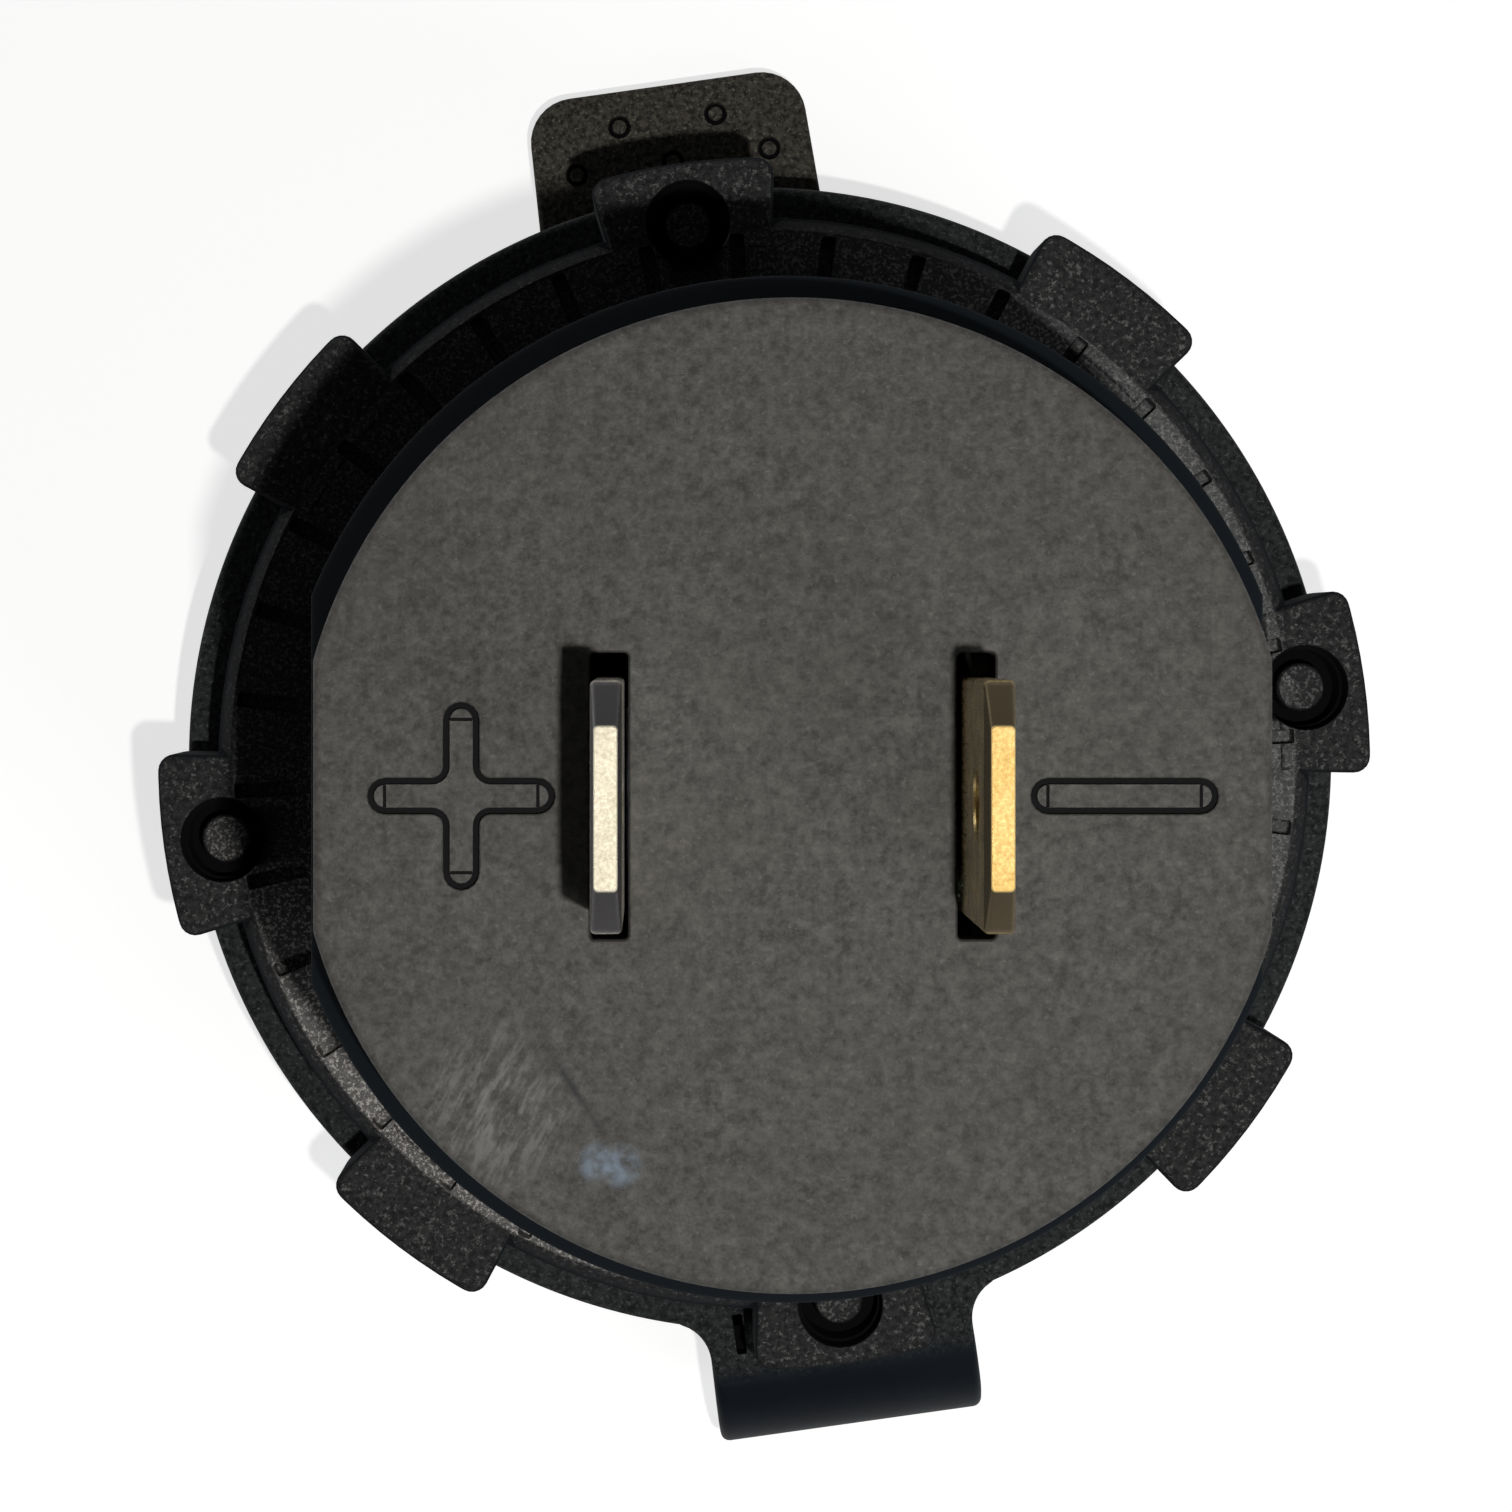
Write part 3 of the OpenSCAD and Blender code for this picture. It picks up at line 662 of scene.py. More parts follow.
def settle(obj):
    """Applies the object's modifiers."""
    result = bpy.data.meshes.new_from_object(obj.evaluated_get(bpy.context.evaluated_depsgraph_get()))
    old = obj.data
    obj.modifiers.clear()
    obj.data = result
    bpy.data.meshes.remove(old)
    return obj


def combine(obj, bm, operation="DIFFERENCE"):
    """Boolean of an object and a mesh in millimetres."""
    tool = new_object(obj.name + "_tool", bm)
    modifier = obj.modifiers.new("cut", "BOOLEAN")
    modifier.operation = operation
    modifier.solver = "EXACT"
    modifier.object = tool
    settle(obj)
    mesh = tool.data
    bpy.data.objects.remove(tool)
    bpy.data.meshes.remove(mesh)
    return obj


def place(obj, y):
    """The object with its mesh moved along Y."""
    obj.data.transform(Matrix.Translation((0, y * MM, 0)))
    return obj


def shade(obj, angle=32):
    """Smooth shading with creases kept where faces meet at more than an angle."""
    mesh = obj.data
    mesh.polygons.foreach_set("use_smooth", [True] * len(mesh.polygons))
    mesh.set_sharp_from_angle(angle=radians(angle))
    return obj


def tag(obj, name, rule):
    """Stores a number from a rule at every vertex, given its place in millimetres."""
    layer = obj.data.attributes.new(name, "FLOAT", "POINT")
    layer.data.foreach_set("value", [float(rule(*(v.co / MM))) for v in obj.data.vertices])


def piece(obj, body, slot, *nodes, shader=None):
    """Finish, body and material slot of a piece that stands for CAD nodes."""
    obj.data.materials.clear()
    obj.data.materials.append((shader or FINISHES[slot]).material)
    if body:
        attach(obj, body)
    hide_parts(*nodes)


# ---------- pieces: barrel and cover


def thread_height(z, angle):
    """Radius of the thread's surface: rounded trapezoids on a right-handed helix."""
    phase = (z / THREAD_PITCH - angle / tau) % 1
    flank = min(max((0.36 - abs(phase - 0.5)) / 0.22, 0), 1)
    rise = flank * flank * (3 - 2 * flank)
    fade = min(max((z - THREAD_Z0) / THREAD_PITCH, 0), 1)
    return BARREL_R - THREAD_DEPTH * (1 - rise * fade)


def end_draw(z):
    """How far the barrel's chamfered end has drawn in at a height; its outer edge is softened."""
    return hypot(max(z - CHAMFER_Z0, 0), EDGE_SOFTNESS) - EDGE_SOFTNESS


def barrel_height(z, angle):
    """Radius of the barrel's surface: threaded, then plain, then chamfered."""
    threaded = thread_height(z, angle)
    if z <= PLAIN_Z0:
        return threaded
    plain = min((z - PLAIN_Z0) / PLAIN_FADE, 1)
    return threaded * (1 - plain) + BARREL_R * plain - end_draw(z)


def flat_corner(z, start, sign):
    """Angle from a start, turned by a sign, at which the barrel's surface meets its flat."""
    flat = BARREL_FLAT - end_draw(z)
    low, high = 0.01, 0.6
    for _ in range(30):
        middle = (low + high) / 2
        if barrel_height(z, start + sign * middle) * cos(middle) > flat:
            low = middle
        else:
            high = middle
    return low


def thread_row(z, arc_steps=72, flat_steps=12):
    """A level loop of the threaded barrel, with its two flats."""
    loop = []
    for side in (0, pi):
        start = side + flat_corner(z, side, 1)
        end = side + pi - flat_corner(z, side + pi, -1)
        following = side + pi + flat_corner(z, side + pi, 1)
        for i in range(arc_steps):
            angle = start + (end - start) * i / arc_steps
            loop.append(polar(barrel_height(z, angle), angle))
        x0, y0 = polar(barrel_height(z, end), end)
        x1, y1 = polar(barrel_height(z, following), following)
        shares = [i / flat_steps for i in range(flat_steps)]
        loop += [(x0 + (x1 - x0) * s, y0 + (y1 - y0) * s) for s in shares]
    return [(x, y, z) for x, y in loop]


def make_housing():
    """Threaded double-D barrel and front flange in one moulding."""
    rows = []
    z = THREAD_Z0
    while z < CHAMFER_Z0:
        rows.append(thread_row(z))
        z += THREAD_PITCH / ROWS_PER_PITCH
    steps = 6
    rows += [thread_row(CHAMFER_Z0 + BARREL_CHAMFER * (i / steps) ** 2) for i in range(steps + 1)]
    like = double_d(BARREL_R, BARREL_FLAT, 0, 72, 12)
    inside = [(BORE_R + LIP, BARREL_TOP), (BORE_R, BARREL_TOP - LIP), (BORE_R, PLATE_Z1),
              (PLATE_SEAT_R, PLATE_Z1), (PLATE_SEAT_R, PLATE_Z0), (RECESS_R - 0.1, PLATE_Z0),
              (RECESS_R, PLATE_Z0 - 0.1), (RECESS_R, FLANGE_Z0 + LIP), (RECESS_R + LIP, FLANGE_Z0)]
    r, z = FLANGE_R - FLANGE_ROUND, FLANGE_Z0 + FLANGE_ROUND
    outside = [(r + FLANGE_ROUND * sin(a), z - FLANGE_ROUND * cos(a)) for a in quarter(8)]
    outside += [(FLANGE_R, FLANGE_Z1 - 0.15), (FLANGE_R - 0.15, FLANGE_Z1),
                (BARREL_R - THREAD_DEPTH, FLANGE_Z1)]
    loops = rows + [ring_loop(r, z, like) for r, z in inside + outside]
    obj = new_object("threaded_barrel", skin(loops, closed=True))
    tag(obj, "end", lambda x, y, z: z > CHAMFER_Z0 - 0.1)
    piece(shade(obj, 30), "socket", "housing_nylon", "housing")


def mark_outline(cross):
    """Outline of a bar with round ends, or of two bars crossed with filleted corners."""
    half, r = MARK_L / 2, MARK_W / 2
    tip = arc((half - r, 0), r, -pi / 2, pi / 2, 8)
    if not cross:
        return tip + [(-x, -y) for x, y in tip]
    centre = (r + MARK_CORNER, r + MARK_CORNER)
    limb = tip + arc(centre, MARK_CORNER, -pi / 2, -pi, 5)
    points = []
    for _ in range(4):
        points += limb
        limb = [(-y, x) for x, y in limb]
    return points


def in_cover_groove(x, y, z):
    """Whether a point lies on the walls or floor of a mark's channel or of a blade slot."""
    down = COVER_TOP - z
    if abs(abs(x) - BLADE_X) < SLOT_W / 2 + 0.01 and abs(y) < SLOT_L / 2 + 0.01:
        return down > 0.05
    inside = abs(x) < COVER_FLAT - 0.5 and abs(y) < MARK_L / 2 + 0.1
    return inside and MARK_FLOOR + 0.02 < down < 2 * MARK_DEPTH


def mark_line(centre, angle):
    """Raised line across the end of a mark's arm."""
    floor = COVER_TOP - MARK_FLOOR
    line = prism(rectangle(MARK_LINE, MARK_W - 2 * MARK_MOAT - 0.02), floor - 0.1, floor + 0.02)
    return moved(turned(moved(line, x=MARK_L / 2 - MARK_W / 2 + 0.02), angle), x=centre)


def make_cover():
    """Rear cover: hollow plug, end plate with blade slots, outlined polarity marks."""
    like = double_d(COVER_R, COVER_FLAT, 0)
    cavity_r = PLUG_R - PLUG_WALL
    under = COVER_TOP - PLATE_T
    loops = [ring_loop(r, z, like) for r, z in ((cavity_r, under), (cavity_r, COVER_LOW[2]),
                                                (PLUG_R, COVER_LOW[2]), (PLUG_R, BARREL_TOP))]
    loops.append(double_d(COVER_R, COVER_FLAT, BARREL_TOP))
    for a in quarter(4):
        draw = COVER_ROUND * (1 - cos(a))
        z = COVER_TOP - COVER_ROUND * (1 - sin(a))
        loops.append(double_d(COVER_R - draw, COVER_FLAT - draw, z))
    obj = new_object("rear_cover_plate", skin(loops))
    slot = rectangle(SLOT_W, SLOT_L, 0.12)
    combine(obj, both_sides(lambda: flared_cut(slot, under - CLEAR, COVER_TOP, 0.07), BLADE_X))
    marks = [shifted(mark_outline(True), -MARK_X), shifted(mark_outline(False), MARK_X)]
    combine(obj, join(*(flared_cut(mark, COVER_TOP - MARK_FLOOR, COVER_TOP, 0.03) for mark in marks)))
    low, high = COVER_TOP - MARK_DEPTH, COVER_TOP - 0.04
    combine(obj, join(*(moat_cut(mark, MARK_MOAT, low, high) for mark in marks)))
    combine(obj, join(*(mark_line(centre, i * tau / arms)
                        for centre, arms in ((-MARK_X, 4), (MARK_X, 2)) for i in range(arms))))
    tag(obj, "groove", in_cover_groove)
    piece(shade(obj, 30), "socket", "cover_plastic", "rear_cover")


# ---------- pieces: blades


def make_blade(name, x, node, slot):
    """Blade terminal with rolled edges, a latching hole and a tapered tip."""
    low = box_mm(node)[0][2]
    widths = [(TAIL_W, low), (TAIL_W, SHOULDER_Z0), (SHOULDER_W, SHOULDER_Z0), (SHOULDER_W, SHOULDER_Z1),
              (BLADE_W, SHOULDER_Z1), (BLADE_W, BLADE_HOLE_Z - 1.6), (BLADE_W, BLADE_HOLE_Z + 1.6),
              (BLADE_W, TIP_Z0 - 0.12)]
    rows = [(w, BLADE_T, z, BLADE_EDGE) for w, z in widths]
    rows += [(BLADE_W - 0.06, BLADE_T - 0.02, TIP_Z0 - 0.04, BLADE_EDGE),
             (BLADE_W - 0.3, BLADE_T - 0.06, TIP_Z0 + 0.1, 0.13),
             (TIP_W + 0.25, TIP_T + 0.03, BLADE_TOP - 0.13, 0.12),
             (TIP_W + 0.08, TIP_T, BLADE_TOP - 0.04, 0.12), (TIP_W, TIP_T - 0.06, BLADE_TOP, 0.1)]
    bm = stack(*((rectangle(thickness, width, edge), z) for width, thickness, z, edge in rows))
    obj = new_object(name, moved(bm, x=x))
    r, half, edge = BLADE_HOLE_R, BLADE_T / 2, 0.06
    hole = dome([(r + 0.3, -CLEAR), (r + edge, -half), (r, edge - half), (r, half - edge), (r + edge, half),
                 (r + 0.3, CLEAR)], 48)
    combine(obj, moved(turned(hole, pi / 2, "Y"), x=x, z=BLADE_HOLE_Z))
    piece(shade(obj, 35), "socket", slot, node)


# ---------- pieces: nut and washer


def lug_outline():
    """Plan of one lug: radial sides, round outer corners."""
    half = LUG_ANGLE / 2
    inner = [(*polar(DISH_R - 0.6, half - LUG_ANGLE * i / 6), 0) for i in range(7)]
    outer = [(*polar(LUG_R, -half + LUG_ANGLE * i / 8), LUG_CORNER if i in (0, 8) else 0) for i in range(9)]
    return rounded_outline(inner + outer, 5)


def spanner_gap(x, y):
    """Distance from a point to the centre of the nearest spanner socket, before the nut is clocked."""
    centres = (polar(SPANNER_PCR, tau * i / SPANNER_COUNT) for i in range(SPANNER_COUNT))
    return min(hypot(x - cx, y - cy) for cx, cy in centres)


def in_nut_groove(x, y, z):
    """Whether a point lies on the wall of a spanner socket or in its moat."""
    return MOAT_CORE_R - 0.02 < spanner_gap(x, y) < SPANNER_R + 0.02 and NUT_Z1 - z > 0.03


def on_island(x, y, z):
    """Whether a point lies on top of a spanner socket's island."""
    return spanner_gap(x, y) < MOAT_CORE_R - 0.02 and abs(z - ISLAND_Z) < 0.01


def on_nut_wall(x, y, z):
    """Whether a point lies on the rim's chamfer or on the walls of the nut and its lugs."""
    return hypot(x, y) > DISH_R + 0.005 and NUT_Z1 - z > 0.03


def make_nut():
    """Ring nut with a shallow slotted dish, eight lugs and four spanner sockets."""
    body = [(NUT_BORE_R, NUT_Z0, 0.3), (NUT_R, NUT_Z0, 0.25), (NUT_R, NUT_Z1 - RIM_CHAMFER, 0.12),
            (DISH_R, NUT_Z1, 0.05), (DISH_FLOOR_R, DISH_Z, 0.25), (NUT_BORE_R, DISH_Z, 0.15)]
    obj = new_object("ring_nut_body", lathe(rounded_outline(body, 4), 288))
    lug = lug_outline()
    combine(obj, all_round(lambda: rounded_prism(lug, NUT_Z0, NUT_Z1, 0.2, 0.2), LUG_COUNT), "UNION")
    slot = shifted(rectangle(SLOT_LENGTH, SLOT_WIDTH, 0.1, 3), DISH_R - SLOT_LENGTH / 2 - 0.1)
    low, high = DISH_Z - 0.3, NUT_Z1 + CLEAR
    combine(obj, all_round(lambda: rounded_prism(slot, low, high, 0, 0.08), SLOT_COUNT, 0.5))
    socket = [(AXIS_R, high), (SPANNER_R + 1.1, high), (SPANNER_R + 0.04, NUT_Z1), (SPANNER_R, NUT_Z1 - 0.04),
              (SPANNER_R, ISLAND_Z), (MOAT_R, ISLAND_Z), (MOAT_R, MOAT_Z),
              (MOAT_CORE_R, MOAT_Z), (MOAT_CORE_R, ISLAND_Z - 0.1), (MOAT_CORE_R - 0.1, ISLAND_Z),
              (AXIS_R, ISLAND_Z)]
    combine(obj, all_round(lambda: moved(dome(socket, 64), x=SPANNER_PCR), SPANNER_COUNT))
    tag(obj, "groove", in_nut_groove)
    tag(obj, "island", on_island)
    tag(obj, "wall", on_nut_wall)
    obj.data.transform(Matrix.Rotation(CLOCKING, 4, "Z"))
    piece(shade(obj, 32), "nut", "nut_nylon", "ring_nut")


def make_washer():
    """Thin washer keyed to the barrel's flats."""
    low, high = WASHER_LOW[2], WASHER_HIGH[2]
    hole = [double_d(BARREL_R + WASHER_GAP + edge, BARREL_FLAT + WASHER_GAP + edge, z)
            for edge, z in ((0.08, low), (0, low + 0.08), (0, high - 0.08), (0.08, high))]
    rim = [ring_loop(WASHER_HIGH[0] - edge, z, hole[0])
           for edge, z in ((0.12, high), (0, high - 0.12), (0, low + 0.12), (0.12, low))]
    obj = new_object("slip_washer_disc", skin(hole + rim, closed=True))
    piece(shade(obj, 30), "washer", "washer_plastic", "slip_washer")


# ---------- pieces: dust cap


def along_across(x, y, angle):
    """A point's place along a direction from the axis, and across it."""
    return x * cos(angle) + y * sin(angle), y * cos(angle) - x * sin(angle)


def pocket():
    """Narrow moulding pocket beside the strap's centre line, in the ring's rear face."""
    hole = shifted(rectangle(POCKET_L, POCKET_W, 0.06, 3), POCKET_R, -POCKET_OFFSET)
    return turned(prism(hole, RING_Z1 - POCKET_DEPTH, RING_Z1 + CLEAR), STRAP_ANGLE)


def in_pocket(x, y, z):
    """Whether a point lies on the walls or floor of the pocket."""
    along, across = along_across(x, y, STRAP_ANGLE)
    beside = abs(along - POCKET_R) < POCKET_L / 2 + 0.02 and abs(across + POCKET_OFFSET) < POCKET_W / 2 + 0.02
    return beside and z < RING_Z1 - 0.1


def in_dimple(x, y, z):
    """Whether a point lies low in the ring round one of the tab's pips."""
    along, across = along_across(x, y, CAP_ANGLE)
    return FLANGE_R + 1 < along < TAB_TIP - 0.6 and abs(across) < TAB_W / 2 - 0.6 and 0.05 < LID_T - z < 0.3


def make_cap_ring():
    """The cap's ring, clamped behind the flange."""
    inner = BARREL_R + 0.2
    profile = rounded_outline([(inner, RING_Z0, 0.1), (RING_R, RING_Z0, 0.2),
                               (RING_R, RING_Z1, 0.3), (inner, RING_Z1, 0.1)], 4)
    obj = new_object("cap_rear_ring", lathe(profile, 256))
    combine(obj, pocket())
    tag(obj, "groove", in_pocket)
    rubber = rubber_finish("cap_ring_rubber", *RING_RUBBER)
    piece(shade(obj), "ring", "cap_rubber", "cap_ring", shader=rubber)


def strap_half(x, disc_r):
    """Half width of the strap at a distance along it: fillets into the disc, then widens a little."""
    rho = STRAP_FILLET
    centre_x = sqrt((disc_r + rho) ** 2 - (STRAP_W / 2 + rho) ** 2)
    if x >= centre_x:
        return STRAP_W / 2 + 0.05 * min((x - centre_x) / 2, 1)
    x = max(x, centre_x * disc_r / (disc_r + rho))
    return STRAP_W / 2 + rho - sqrt(rho ** 2 - (x - centre_x) ** 2)


def strap_route():
    """Middle of the strap as (distance, height, lean, radius of the disc that it leaves)."""
    fold_r = (STRAP_Z_TOP - STRAP_Z_LOW) / 2
    fold_z = (STRAP_Z_TOP + STRAP_Z_LOW) / 2
    leg = STRAP_X - STRAP_START
    steps = 22
    out = [(STRAP_START + leg * i / steps, STRAP_Z_TOP, 0, RING_R) for i in range(steps)]
    fold = [(STRAP_X + fold_r * cos(a), fold_z + fold_r * sin(a), a - pi / 2, FLANGE_R)
            for a in (pi / 2 - pi * i / 32 for i in range(33))]
    back = [(STRAP_X - leg * i / steps, STRAP_Z_LOW, -pi, FLANGE_R) for i in range(1, steps + 1)]
    return out + fold + back


def on_fold(x, y, z):
    """1 on the strap's fold, falling to 0 on its way back to the flange."""
    return min(max((along_across(x, y, STRAP_ANGLE)[0] - STRAP_X - 0.2) / 0.6, 0), 1)


def make_strap():
    """The strap: out of the ring, round its fold and into the disc."""
    loops = []
    for x, z, lean, disc_r in strap_route():
        section = rectangle(2 * strap_half(x, disc_r), STRAP_T - 0.06, STRAP_EDGE, 4)
        loops.append([(x - v * sin(lean), u, z + v * cos(lean)) for u, v in section])
    obj = new_object("cap_strap_fold", turned(skin(loops), STRAP_ANGLE))
    combine(obj, pocket())
    tag(obj, "groove", in_pocket)
    tag(obj, "fold", on_fold)
    rubber = rubber_finish("cap_strap_rubber", *RING_RUBBER, fold_shade=PAINTED_FOLD_SHADE)
    piece(shade(obj, 40), None, "cap_rubber", "cap_strap", shader=rubber)
    x, y = polar(STRAP_X * MM, STRAP_ANGLE)
    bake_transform(obj)


def make_lid():
    """The cap's disc with its rounded rim, pull tab, grip pips and skirt."""
    outer, inner = SKIRT_R, SKIRT_R - SKIRT_WALL
    profile = [(AXIS_R, LID_T), (inner - 0.3, LID_T), (inner, LID_T + 0.3), (inner, SKIRT_TOP - 0.2),
               (inner + 0.2, SKIRT_TOP), (outer - 0.25, SKIRT_TOP), (outer, SKIRT_TOP - 0.25),
               (outer, LID_T + 0.25), (outer + 0.25, LID_T), (FLANGE_R - 0.2, LID_T), (FLANGE_R, LID_T - 0.2)]
    profile += [(FLANGE_R - LID_ROUND * (1 - cos(a)), LID_ROUND * (1 - sin(a))) for a in quarter(8)]
    profile += [(FACE_RIM_R + 0.35, 0), (FACE_RIM_R, FACE_DISH), (AXIS_R, FACE_DISH)]
    obj = new_object("cap_disc", dome(profile, 256))
    half = TAB_W / 2
    tab = rounded_outline([(TAB_ROOT, -half - 0.15, 0), (TAB_TIP, 0.1 - half, TAB_CORNER),
                           (TAB_TIP, half - 0.1, TAB_CORNER), (TAB_ROOT, half + 0.15, 0)], 8)
    combine(obj, turned(rounded_prism(tab, TAB_Z0, LID_T, 0.22, 0.3), CAP_ANGLE), "UNION")
    dimple = ((AXIS_R, 0.5), (0.42, 0.5), (0.42, 0), (0.36, -0.2), (0.25, -0.2), (0.25, 0.02), (0.2, 0.12),
              (0.1, 0.16), (AXIS_R, 0.17))
    combine(obj, join(*(turned(moved(dome(dimple, 32), reach, offset, LID_T), CAP_ANGLE)
                        for reach, offsets in PIP_ROWS for offset in offsets)))
    tag(obj, "groove", in_dimple)
    piece(shade(obj), "cap", "cap_rubber", "cap_lid")


# ---------- pieces: front face and ports


def port_mouth():
    """Cutting solid for a port's opening, chamfered at the front."""
    hole = [(x, -y) for x, y in reversed(rectangle(PORT_W + 0.3, PORT_H + 0.3, 0.5))]
    return stack((inset(hole, -CLEAR), PLATE_Z0 - CLEAR), (inset(hole, -0.3), PLATE_Z0),
                 (hole, PLATE_Z0 + 0.3), (hole, PLATE_Z1 + CLEAR))


def make_face():
    """Recessed face with two framed port openings, a light window and two screw bosses."""
    top = FACE_HIGH[2]
    lip_r, lip_z, seat_r = PLUG_R - 0.9, PLATE_Z1 + 1.8, PLATE_SEAT_R - 0.1
    profile = [(AXIS_R, PLATE_Z1), (lip_r, PLATE_Z1), (lip_r, lip_z), (PLUG_R, lip_z), (PLUG_R, PLATE_Z1),
               (seat_r, PLATE_Z1), (seat_r, PLATE_Z0 + 0.12), (seat_r - 0.12, PLATE_Z0), (AXIS_R, PLATE_Z0)]
    obj = new_object("front_face", dome(profile, 192))
    boss = [(AXIS_R, PLATE_Z1 - 0.5), (BOSS_R, PLATE_Z1 - 0.5), (BOSS_R, top - 0.2), (BOSS_R - 0.2, top),
            (AXIS_R, top)]
    combine(obj, both_sides(lambda: dome(boss, 48), BOSS_X), "UNION")
    combine(obj, join(*(moved(port_mouth(), y=side * PORT_Y) for side in SIDES)))
    deep = top - SCREW_HOLE_DEPTH
    screw = [(AXIS_R, deep), (SCREW_HOLE_R, deep), (SCREW_HOLE_R, top - 0.1), (1.2, top + 0.2),
             (AXIS_R, top + 0.2)]
    low, high = PLATE_Z0 - CLEAR, PLATE_Z1 + CLEAR
    light = [(AXIS_R, low), (1.3, low), (1.0, PLATE_Z0 + 0.1), (1.0, high), (AXIS_R, high)]
    combine(obj, join(moved(dome(light, 48), y=LIGHT_Y), both_sides(lambda: dome(screw, 32), BOSS_X)))
    piece(shade(obj, 30), "socket", "face_plastic", "face_plate")


def make_light_pipe():
    """Clear rod with a domed window."""
    r, low, high = PIPE_HIGH[0], PIPE_LOW[2], PIPE_HIGH[2]
    profile = [(AXIS_R, low + 0.02), (r * 0.5, low + 0.05), (r * 0.85, low + 0.16), (r, low + 0.35),
               (r, high - 0.1), (r - 0.1, high), (AXIS_R, high)]
    obj = new_object("light_window", moved(dome(profile, 48), y=LIGHT_Y))
    piece(shade(obj, 40), "socket", "clear_acrylic", "light_pipe")


def finger_cut(width=2.3, length=5.0, gap=0.28):
    """Cutting solid for the narrow U that frees a spring finger."""
    x, y = width / 2, length / 2
    outline = [(-x, -y), (x, -y), (x, y), (x - gap, y), (x - gap, gap - y), (gap - x, gap - y), (gap - x, y),
               (-x, y)]
    return turned(prism(outline, -1, 1), pi / 2, "X")


def make_port_shell(end, y):
    """Folded steel shell: round corners, rolled mouth, four spring fingers and board legs."""
    outer = rectangle(PORT_W, PORT_H, 0.75)
    inner = rectangle(PORT_W - 2 * SHELL_T, PORT_H - 2 * SHELL_T, 0.45)
    lip = 0.12
    wall = stack((inset(outer, lip), SHELL_Z0), (outer, SHELL_Z0 + lip), (outer, SHELL_Z1), (inner, SHELL_Z1),
                 (inner, SHELL_Z0 + lip), (inset(inner, -lip), SHELL_Z0), closed=True)
    obj = new_object("port_shell_" + end, wall)
    combine(obj, join(*(moved(finger_cut(), x=x, y=side * PORT_H / 2, z=SHELL_Z0 + 6)
                        for side in SIDES for x in (-3.3, 3.3))))
    leg = rectangle(SHELL_T, 2.0, 0.1, 3)
    combine(obj, both_sides(lambda: rounded_prism(leg, SHELL_Z1 - 0.5, SHELL_HIGH[2], 0.12, 0),
                            (PORT_W - SHELL_T) / 2, 1.4), "UNION")
    piece(shade(place(obj, y), 35), "socket", "port_steel", "usb_shell_" + end)


def make_tongue(end, y):
    """Plastic tongue with a chamfered nose, contact grooves and its rear block."""
    node = "usb_tongue_" + end
    low, high = box_mm(node)
    front, back = low[2], high[2]
    root = back - TONGUE_ROOT
    block = rectangle(high[0] - low[0], high[1] - low[1], 0.3)
    obj = new_object("port_tongue_" + end, rounded_prism(block, root, back, 0, 0.15))
    nose = stack(*((rectangle(w, h, 0.2, 3), z) for w, h, z in
                   ((10.5, 1.0, front), (TONGUE_W, 1.5, front + 0.5), (TONGUE_W, TONGUE_T, front + 1),
                    (TONGUE_W, TONGUE_T, root + 0.4))))
    combine(obj, moved(nose, y=TONGUE_Y), "UNION")
    groove = rectangle(1.15, 0.4)
    combine(obj, join(*(moved(prism(groove, front + 0.9, root - 0.1), x=x, y=TONGUE_Y - TONGUE_T / 2)
                        for x in CONTACT_X)))
    piece(shade(place(obj, y), 30), "socket", "port_plastic", node)


def make_contacts(end, y):
    """Four spring contacts with lifted, rounded noses."""
    node = "usb_contacts_" + end
    low, high = box_mm(node)
    section = rectangle(0.95, 0.16, 0.05, 2)
    base = TONGUE_Y - TONGUE_T / 2 + 0.17
    levels = []
    for i in range(17):
        s = i / 16
        lift = 0.36 * exp(-((s - 0.22) / 0.16) ** 2) - 0.06 * max(0, 0.08 - s) / 0.08
        levels.append((shifted(section, 0, base - max(lift, 0) * 0.65), low[2] + (high[2] - low[2]) * s))
    obj = new_object("port_contacts_" + end, join(*(moved(stack(*levels), x=x) for x in CONTACT_X)))
    piece(shade(place(obj, y), 50), "socket", "contact_gold", node)


# ---------- finishes

# Each row: dark and light colour, grain and its depth in millimetres, least and greatest roughness.
GRAINED = {
    "face_plastic": ((0.024, 0.025, 0.028), (0.042, 0.043, 0.047), 0.14, 0.02, 0.42, 0.55),
    "port_plastic": ((0.68, 0.68, 0.65), (0.78, 0.78, 0.75), 0.2, 0.008, 0.4, 0.5),
    "chip_resin": ((0.018, 0.019, 0.02), (0.034, 0.035, 0.037), 0.12, 0.015, 0.5, 0.62),
    "ferrite": ((0.045, 0.045, 0.05), (0.075, 0.075, 0.08), 0.1, 0.02, 0.5, 0.65),
    "fuse_ceramic": ((0.7, 0.67, 0.6), (0.82, 0.79, 0.72), 0.12, 0.01, 0.45, 0.6),
}
# Each row: dark and light colour, roughness, and the grain's stretch where it isn't along X.
ROLLED = {
    "port_steel": ((0.52, 0.53, 0.54), (0.68, 0.69, 0.7), 0.28),
    "contact_gold": ((0.72, 0.5, 0.2), (0.88, 0.67, 0.3), 0.22),
    "screw_steel": ((0.38, 0.39, 0.4), (0.52, 0.53, 0.54), 0.32),
    "copper_wire": ((0.5, 0.2, 0.07), (0.7, 0.32, 0.13), 0.3),
    "capacitor_can": ((0.62, 0.63, 0.65), (0.76, 0.77, 0.79), 0.25, (1, 1, 40)),
    "solder": ((0.5, 0.51, 0.52), (0.66, 0.67, 0.68), 0.22, (1, 1, 1)),
}
